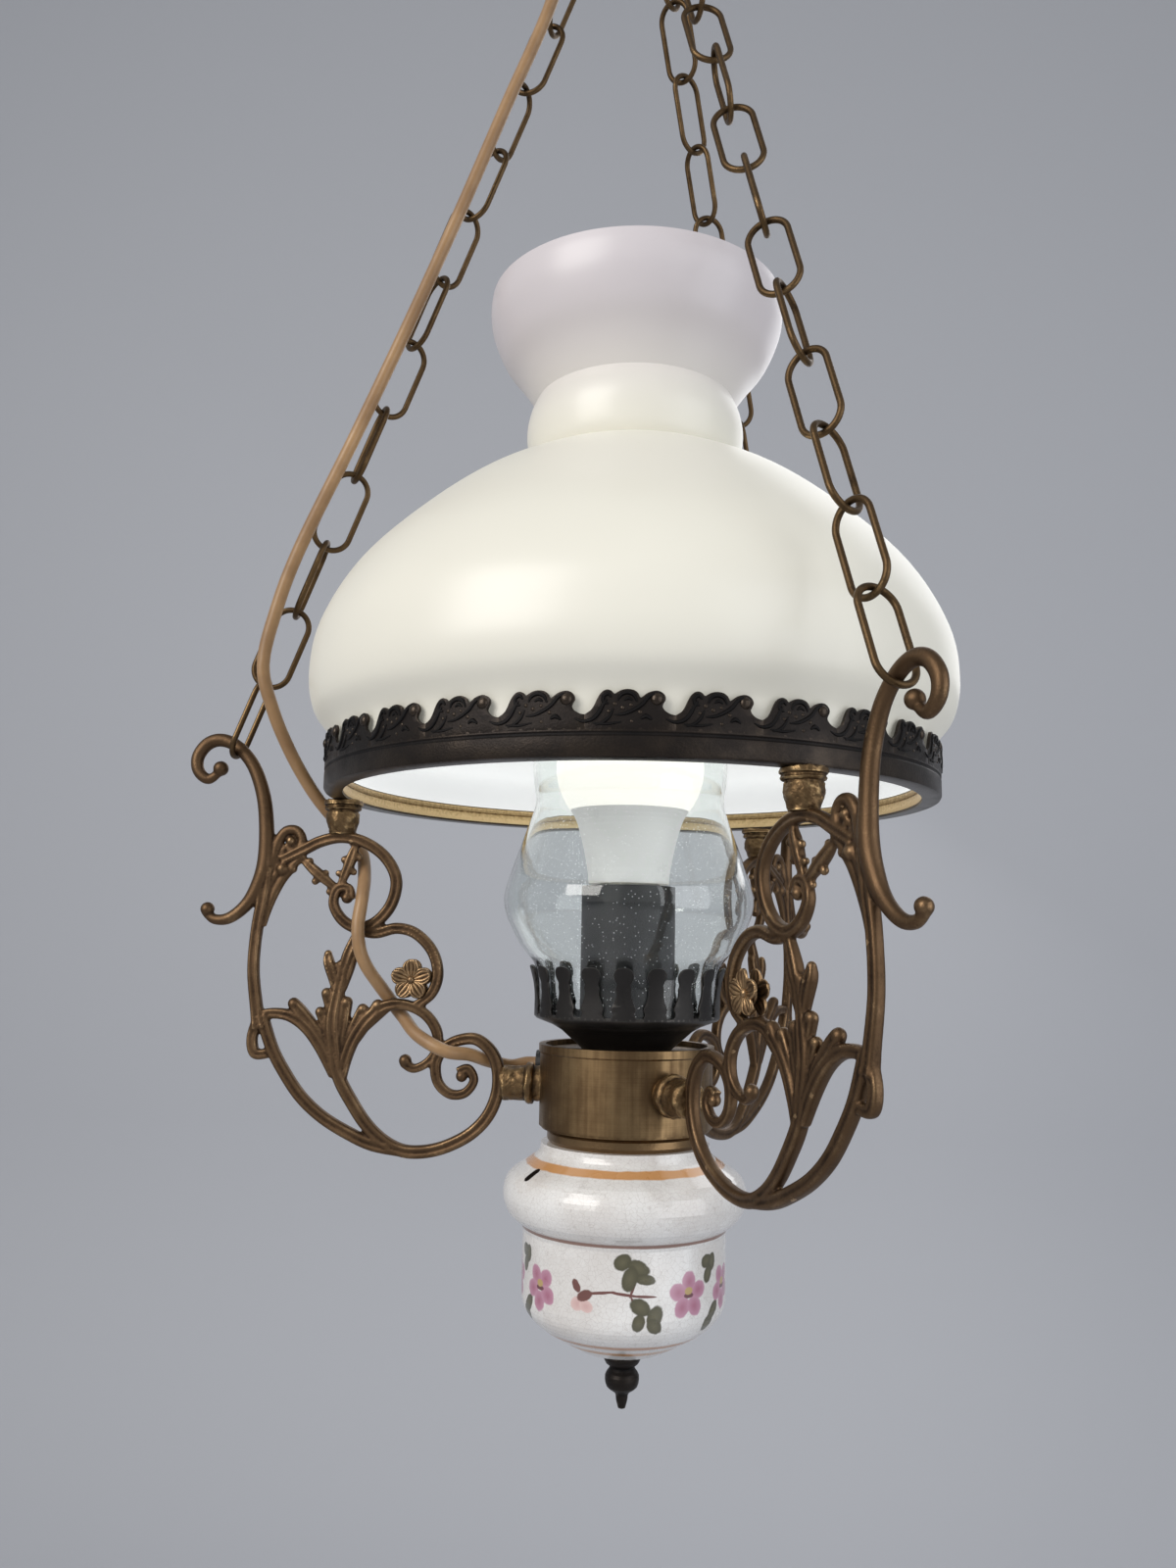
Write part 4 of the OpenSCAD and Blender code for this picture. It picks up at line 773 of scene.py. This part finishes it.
def makePetals():
    # cupped petals with ribs, one flower on each face of the arm
    f, widest = armFlower, armFlower["widest"]
    deselect()
    bpy.ops.mesh.primitive_grid_add(x_subdivisions=16, y_subdivisions=10, size=2)
    petalPiece = bpy.context.object
    for v in petalPiece.data.vertices:
        across, t = v.co.x, (v.co.y + 1) / 2
        if t < widest:
            wide = f["stub"] + (f["half"] - f["stub"]) * math.sin(math.pi / 2 * (t / widest))
        else:
            wide = f["half"] * math.sqrt(max(0.06, 1 - ((t - widest) / 0.5) ** 2))
        bow = math.sin(math.pi * t)
        cup = 0.3 + 0.7 * t + f["cup"] * across ** 2 * bow + f["rib"] * math.cos(across * 4 * math.pi) * bow
        v.co = ((f["from"] + (f["to"] - f["from"]) * t) * mm, across * wide * mm, (f["face"] + cup) * mm)
    applyModifier(petalPiece, "SOLIDIFY", thickness=f["thick"] * mm, offset=-1)
    copies = []
    for side in (1, -1):
        middle = Matrix.Translation((f["at"][0] * mm, f["at"][1] * mm, 0)) @ Matrix.Diagonal((1, 1, side, 1))
        for k in range(f["petals"]):
            copy = copyOf(petalPiece, "petal")
            place(copy, middle @ turnBy(90 + 360 * k / f["petals"], "Z"))
            copies.append(copy)
        copies.append(ball((*f["at"], side * (f["face"] + 0.7)), f["button"]))
    bpy.data.objects.remove(petalPiece)
    flower = joinAll(copies, "castFlower")
    cleanMesh(flower)
    return flower


def makeArm():
    steps = armCast["steps"]
    plain, grooved = ridgedProfile("stemSection", 0), ridgedProfile("grooveSection", armCast["groove"])
    plump = ridgedProfile("leafSection", armCast["leafGroove"])
    parts = [sweep(points, plain, steps) for points in armStems.values()]
    parts += [sweep(points, grooved, steps) for points in armStrokes.values()]
    parts += [sweep(points, plump, steps) for group in armLeaves.values() for points in group]
    parts += [ball((x, y, 0), r) for x, y, r in armEnds]
    for tips in armLeaves["fingers"] + armLeaves["sprigs"] + armLeaves["leaflets"]:
        parts.append(ball((tips[-1][0], tips[-1][1], 0), tips[-1][2] * armCast["tip"]))
    parts.append(ball((*armFlower["at"], 0), armFlower["boss"], (1, 1, armFlower["bossFlat"])))
    arm = joinAll(parts, "castArm")
    for section in (plain, grooved, plump):
        bpy.data.objects.remove(section)
    applyModifier(arm, "REMESH", mode="VOXEL", voxel_size=armCast["voxel"] * mm)
    applyModifier(arm, "SMOOTH", factor=0.5, iterations=2)
    arm = joinAll([arm, makePetals()], "castArm")
    place(arm, turnBy(90, "X"))
    smoothShade(arm, 180)
    return arm


def makeArms():
    master = makeArm()
    print("arm faces:", len(master.data.polygons))
    for name, turn in armCast["turns"].items():
        copy = copyOf(master, "cast_" + name)
        place(copy, toLamp @ turnBy(turn, "Z"))
        finishPiece(copy, "lamp", "cast_brass", castBrass, name)
    bpy.data.objects.remove(master)


makeArms()
print("arms made")


# brazed sockets: a ferrule at the collar and a cup under the ring for each arm, as (radius, place along the axis)
sockets = {"ferruleAt": -112.0, "cupAt": 118.25, "grain": 0.0028, "rough": 1.3, "middle": 0.55, "steps": 48}
ferruleLine = [(0, 32.6), (6.9, 32.6), (6.9, 36.3), (7.7, 36.8), (8.0, 37.5), (8.0, 38.8), (7.6, 39.5), (6.9, 39.9), (6.8, 42),
               (6.6, 44.4), (6.7, 46.8), (6.9, 48.4), (6.0, 49.8), (0, 49.9)]
cupLine = [(0, -14), (5.1, -14), (5.4, -13), (6.1, -11.2), (6.6, -9.2), (6.8, -7.2), (6.6, -5.4), (6.3, -4.8), (6.4, -4.4),
           (7.3, -4), (7.6, -3.4), (7.2, -2.8), (7.2, -2.3), (7.9, -1.9), (7.9, -0.5), (7.6, 0), (0, 0)]


def makeSockets():
    brazing = bpy.data.textures.new("brazing", "CLOUDS")
    brazing.noise_scale = sockets["grain"]
    down = Matrix.Translation((0, 0, -lampZ))
    lying = Matrix.Translation((0, 0, sockets["ferruleAt"] * mm)) @ turnBy(90, "Y")
    upright = Matrix.Translation((sockets["cupAt"] * mm, 0, 0))
    for name, node, slot, line, lean in (("brazedFerrules", "arm_ferrules", "brass", ferruleLine, lying),
                                         ("brazedCups", "ring_cups", "cast_brass", cupLine, upright)):
        rows = [(a[0] + (b[0] - a[0]) * k / 3, a[1] + (b[1] - a[1]) * k / 3)
                for a, b in zip(line, line[1:]) for k in range(3)]
        parts = []
        for turn in armCast["turns"].values():
            part = lathe(name, rows + [line[-1]], sockets["steps"], angle=60)
            place(part, toLamp @ turnBy(turn, "Z") @ lean @ down)
            parts.append(part)
        piece = joinAll(parts, name)
        applyModifier(piece, "DISPLACE", texture=brazing, strength=sockets["rough"] * mm, mid_level=sockets["middle"])
        smoothShade(piece, 70)
        finishPiece(piece, "lamp", slot, brazedBrass, node)


makeSockets()
print("sockets made")


# shade ring: a turned band with a gold lip, and crest motifs bent round it
crest = {"low": 8.4, "thick": 1.3, "strips": 9, "soften": 0.22, "phase": -6.8 - 88.0, "sunk": 0.1, "beadFlat": 0.62}
crestOutline = [(0, 13.4), (1.8, 14.6), (2.9, 16.2), (3.8, 18.2), (4.8, 19.9), (5.9, 20.9), (7.1, 21.2), (8.3, 20.8),
                (9.2, 19.9), (10.1, 20.4), (11.5, 21.1), (13.3, 21.4), (15.2, 21.1), (16.5, 20.2), (17.3, 18.8),
                (18.2, 19.3), (19.4, 20.2), (20.9, 20.8), (22.6, 21), (24.1, 20.4), (25, 19.3), (25.1, 18.1), (24.5, 17),
                (24.2, 15.9), (25, 14.7), (26.7, 13.7), (28.39, 13.4)]
crestStrokes = [
    [(25.2, 12.2, 0.3), (27.6, 11.2, 0.6), (30.2, 11.6, 0.75), (32.2, 13.2, 0.75), (33.6, 15.6, 0.7), (35, 18.2, 0.5)],
    [(31.6, 10, 0.3), (34, 10.9, 0.6), (36, 12.7, 0.6), (37.2, 15.2, 0.35)],
    [(8.2, 18.8, 0.4), (7.2, 19.9, 0.7), (5.8, 19, 0.7), (5.9, 17.2, 0.6), (7.4, 16.8, 0.4)],
    [(10.2, 17.6, 0.35), (11.2, 19.5, 0.7), (13.3, 20.3, 0.8), (15.3, 19.4, 0.7), (16.2, 17.4, 0.35)],
    [(12.2, 17.7, 0.35), (13.5, 18.5, 0.65), (14.9, 17.7, 0.35)],
    [(9.4, 13.2, 0.3), (12.2, 13.5, 0.6), (15.2, 14.8, 0.7), (17.8, 16.6, 0.75), (19.6, 18.8, 0.7), (21.6, 20, 0.6)],
    [(17.4, 12, 0.4), (19, 12.9, 0.85), (20.8, 11.8, 0.4)], [(2.6, 10.6, 0.3), (7, 10.3, 0.55), (11.4, 11, 0.3)],
]
crestBeads = [(9.4, 16.6, 0.7), (11.8, 15.4, 0.75), (7.5, 14.3, 0.6), (17.2, 14.1, 0.7), (14.4, 16.3, 0.6), (22.4, 18.3, 2.1),
              (14.6, 11.2, 0.6)]


def wrapRound(obj, radius, turn):
    # a flat plate in the XZ plane, outside towards -Y, becomes part of a cylinder
    for v in obj.data.vertices:
        a, r = v.co.x / radius + turn, radius - v.co.y
        v.co = (r * math.cos(a), r * math.sin(a), v.co.z)
    obj.data.update()


def flatPlate(name, outline, thick, soften, cuts):
    # outline in mm becomes an upright plate with softened rims, sliced so that it can bend
    obj = addCurve(name, [(x * mm, z * mm, 0) for x, z in outline], closed=True, flat=True)
    obj.data.fill_mode = "BOTH"
    obj.data.extrude = (thick / 2 - soften) * mm
    obj.data.bevel_depth = soften * mm
    obj.data.bevel_resolution = 1
    obj.data.offset = -soften * mm
    obj = toMesh(obj)
    place(obj, turnBy(90, "X"))
    cleanMesh(obj)
    editAll(obj)
    for x in cuts:
        bpy.ops.mesh.select_all(action="SELECT")
        bpy.ops.mesh.bisect(plane_co=(x, 0, 0), plane_no=(1, 0, 0))
    editDone()
    return obj


def makeCrest():
    # one motif with its raised strokes and beads, copied round the ring
    pitch = 2 * math.pi * ring["radius"] / ring["motifs"]
    fit = pitch / crestOutline[-1][0]
    top = [(p.x * fit, p.y) for p in reversed(smoothLine(crestOutline, 3))]
    outline = [(0, crest["low"]), (pitch, crest["low"])] + top
    cuts = [pitch * mm * k / crest["strips"] for k in range(1, crest["strips"])]
    bits = [flatPlate("crestPlate", outline, crest["thick"], crest["soften"], cuts)]
    face = -crest["thick"] / 2
    sixths = [math.radians(60 * k) for k in range(6)]
    section = addCurve("strokeSection", [(math.cos(a) * mm, math.sin(a) * mm, 0) for a in sixths], closed=True)
    for stroke in crestStrokes:
        raised = sweep(stroke, section, 4, fit)
        place(raised, Matrix.Translation((0, (face + crest["sunk"]) * mm, 0)) @ turnBy(90, "X"))
        bits.append(raised)
    bits += [ball((x * fit, face + 0.15 * r, z), r, (1, crest["beadFlat"], 1), 2) for x, z, r in crestBeads]
    bpy.data.objects.remove(section)
    motif = joinAll(bits, "crestMotif")
    copies = []
    for k in range(ring["motifs"]):
        copy = copyOf(motif, "crestCopy")
        wrapRound(copy, (ring["radius"] + face) * mm, math.radians(crest["phase"]) + 2 * math.pi * k / ring["motifs"])
        place(copy, toLamp)
        copies.append(copy)
    bpy.data.objects.remove(motif)
    return copies


def makeRing():
    out, inner, lip = ring["radius"], ring["radius"] - ring["wall"], ring["radius"] - ring["lip"]
    copies = makeCrest()
    band = lathe("ringBand", [
        (lip + 0.2, 0), (out - 1.2, 0), (out - 0.4, 0.3), (out, 1.1), (out, 6.6), (out - 0.35, 7.1), (out - 0.35, 7.7),
        (out, 8.2), (out, 9.2), (out - 0.5, 9.8), (inner + 0.2, 9.8), (inner, 9.4), (inner, 0.9), (lip + 0.2, 0.9)],
        ring["steps"], angle=30)
    piece = joinAll([band] + copies, "shadeRing")
    smoothShade(piece, 40)
    finishPiece(piece, "lamp", "dark_bronze", darkBronze, "shade_ring")
    print("ring faces:", len(piece.data.polygons))
    rise, face, snug = ring["rise"], lip + ring["wall"], inner - 0.05
    seat = lathe("ringLip", [
        (lip, 0.9), (snug, 0.9), (snug, 2.45), (face + 0.5, 2.45), (face, 2.9), (face, rise - 0.3), (face - 0.3, rise),
        (lip + 0.3, rise), (lip, rise - 0.3), (lip, 5.4), (lip + 0.15, 5.1), (lip + 0.15, 4.8), (lip, 4.5)],
        ring["steps"], angle=40)
    finishPiece(seat, "lamp", "brass", gildedLip)


makeRing()
print("ring made")


# gallery: a pan and a crown of round-headed prongs
gallery = {"foot": 29.5, "inside": 35.8, "wall": 1.0, "floor": -88.5, "prongs": 19, "phase": 0.25, "low": 3.2, "tall": 23.0,
           "slope": 3.0, "soften": 0.2, "bore": 4.05, "strips": 6, "bendAt": 9, "lean": 0.2, "flare": 2.3, "curl": 2.2,
           "steps": 96}
prongHalf = [(6.28, 4.0), (5.4, 4.2), (4.7, 4.8), (4.3, 5.9), (4.5, 6.9), (4.8, 7.7), (4.5, 8.5), (4.0, 9.7), (3.5, 11.0),
             (3.05, 12.5), (2.95, 13.9), (3.1, 15.2), (2.8, 16.1), (2.75, 17.0), (3.4, 18.2), (3.8, 19.7), (3.6, 20.9),
             (3.0, 21.9), (1.9, 22.7), (0, 23)]


def makeGallery():
    g, w, inside = gallery, gallery["wall"], gallery["inside"]
    radius, strips = inside + w / 2, g["strips"]
    pitch = 2 * math.pi * radius / g["prongs"]
    fit = pitch / 2 / prongHalf[0][0]
    half = [(p.x * fit, p.y) for p in smoothLine(prongHalf, 3)]
    outline = [(-pitch / 2, g["low"]), (pitch / 2, g["low"])] + half + [(-x, z) for x, z in reversed(half[:-1])]
    plate = flatPlate("prongPlate", outline, w, g["soften"], [pitch * mm * (k / strips - 0.5) for k in range(1, strips)])
    for v in plate.data.vertices:
        rise = max(0.0, v.co.z / mm - g["bendAt"]) / (g["tall"] - g["bendAt"])
        v.co.y -= (g["lean"] * rise + g["flare"] * rise ** g["curl"]) * mm
    copies = []
    for k in range(g["prongs"]):
        copy = copyOf(plate, "prongCopy")
        wrapRound(copy, radius * mm, 2 * math.pi * (k + g["phase"]) / g["prongs"])
        place(copy, Matrix.Translation((0, 0, lampZ + g["floor"] * mm)))
        copies.append(copy)
    bpy.data.objects.remove(plate)
    pan = lathe("galleryPan", [(r, z + g["floor"]) for r, z in [
        (g["bore"], 0), (g["foot"], 0), (inside + w - 0.8, g["slope"] - 0.5), (inside + w, g["slope"] + 0.4), (inside + w, 4.1),
        (inside + w - 0.3, 4.4), (inside + 0.2, 4.4), (inside, 4.2), (inside - 0.3, g["slope"] + 0.9), (g["foot"], 1),
        (g["bore"], 1)]], g["steps"], angle=35)
    crown = joinAll([pan] + copies, "galleryCrown")
    smoothShade(crown, 40)
    finishPiece(crown, "lamp", "black_metal", blackMetal, "gallery_crown")


makeGallery()
print("gallery made")


# cord: one smooth run along the left chain and through the left arm, and two free stretches
cord = {"radius": 2.7, "gap": 0.3, "part": Vector((-22, -7, -72)), "lean": Vector((1, 3, 10)), "slope": Vector((3, 0, 13))}
cordDrop = [(-18, 0, -14.05), (-18, 0, -26), (-18, 0, -36), (-18, 0, -42)]
cordRoute = [(-26, -13, 404), (-38, -13, 352), (-57, -13, 302), (-76, -13, 252), (-96, -13, 202), (-117, -13, 152),
             (-138, -13, 104), (-147, -13, 76), (-151, -12.5, 54), (-147, -9, 36), (-141, -3, 20), (-134, 4, 6),
             (-127, 9, -4), (-119, 11, -12), (-112, 9, -21), (-109, 3, -31), (-108, -3.5, -41), (-108.5, -6, -51),
             (-107.5, -6, -60), (-105, -3, -67.5), (-100.5, 3, -75.5), (-95, 5.4, -83), (-90.5, 4, -88),
             (-84.5, -1.5, -93.5), (-77, -5.4, -97.5), (-70, -5.4, -100.3), (-62.5, 0, -101.5), (-55, 6, -104.5),
             (-47, 11, -106.5), (-41, 13, -105.5), (-36, 13, -105.5), (-29, 13, -105.5)]


def cordTube(name, points):
    obj = toMesh(addCurve(name, [p * mm for p in smoothLine(points, 8)], depth=cord["radius"] * mm))
    cleanMesh(obj)
    smoothShade(obj, 60)
    return obj


def makeCordPieces():
    part, lean, slope, gap = cord["part"], cord["lean"], cord["slope"], cord["gap"]
    shift = Vector((0, 0, lampZ / mm))
    end = Vector(cordRoute[0]) + shift
    top = cordDrop + [part + 2 * lean, part + lean, part + gap * lean.normalized()]
    following = [part, part - lean / 2, part - lean, end + slope, end + slope / 2, end + gap * slope.normalized()]
    run = cordTube("cordRun", [Vector(p) + shift for p in cordRoute])
    finishPiece(run, "lamp", "flex_fabric", goldCord, "flex")
    for name, points, first, bodies, node in (
            ("cordUpper", top, len(cordDrop) - 1, ("ceiling", "suspension"), "flex_upper"),
            ("cordMiddle", following, 0, ("suspension", "lamp"), "flex_middle")):
        piece = cordTube(name, points)
        piece.data.materials.append(goldCord)
        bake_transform(piece)
        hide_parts(node)


makeCordPieces()
print("cord made")


# finishes of the solids
dressing = [
    (zincSteel, "ceiling_bracket terminal_screws arm_screws ring_screws center_rod rod_nuts bulb_cap"),
    (collarBrass, "ceiling_canopy collar_drum collar_cap"), (brightBrass, "canopy_nut holder_shell holder_contact"),
    (chainBrass, "ceiling_hook suspension_ring chain_crown chain_left chain_front_right chain_back_right"),
    (paleInsulator, "canopy_cord_bush terminal_block holder_insulator inner_leads led_board"),
    (castBrass, "arm_left arm_front_right arm_back_right"), (brazedBrass, "arm_ferrules ring_cups"),
    (darkBronze, "shade_ring font_washer finial"), (umberMetal, "neck_ring"), (paintedGlaze, "font"),
    (blackMetal, "gallery_cone gallery_crown"), (blackPlastic, "holder_sleeve collar_cord_bush"),
    (goldCord, "flex flex_upper flex_middle"), (opalGlass, "shade_glass"), (clearGlass, "chimney_glass chimney_bulge"),
    (bulbShellPaintedGlow, "bulb_body"), (litDiffuser, "bulb_diffuser"),
]
for material, names in dressing:
    for name in names.split():
        cad[name].material_slots[0].material = material
print("solids dressed")

deselect()
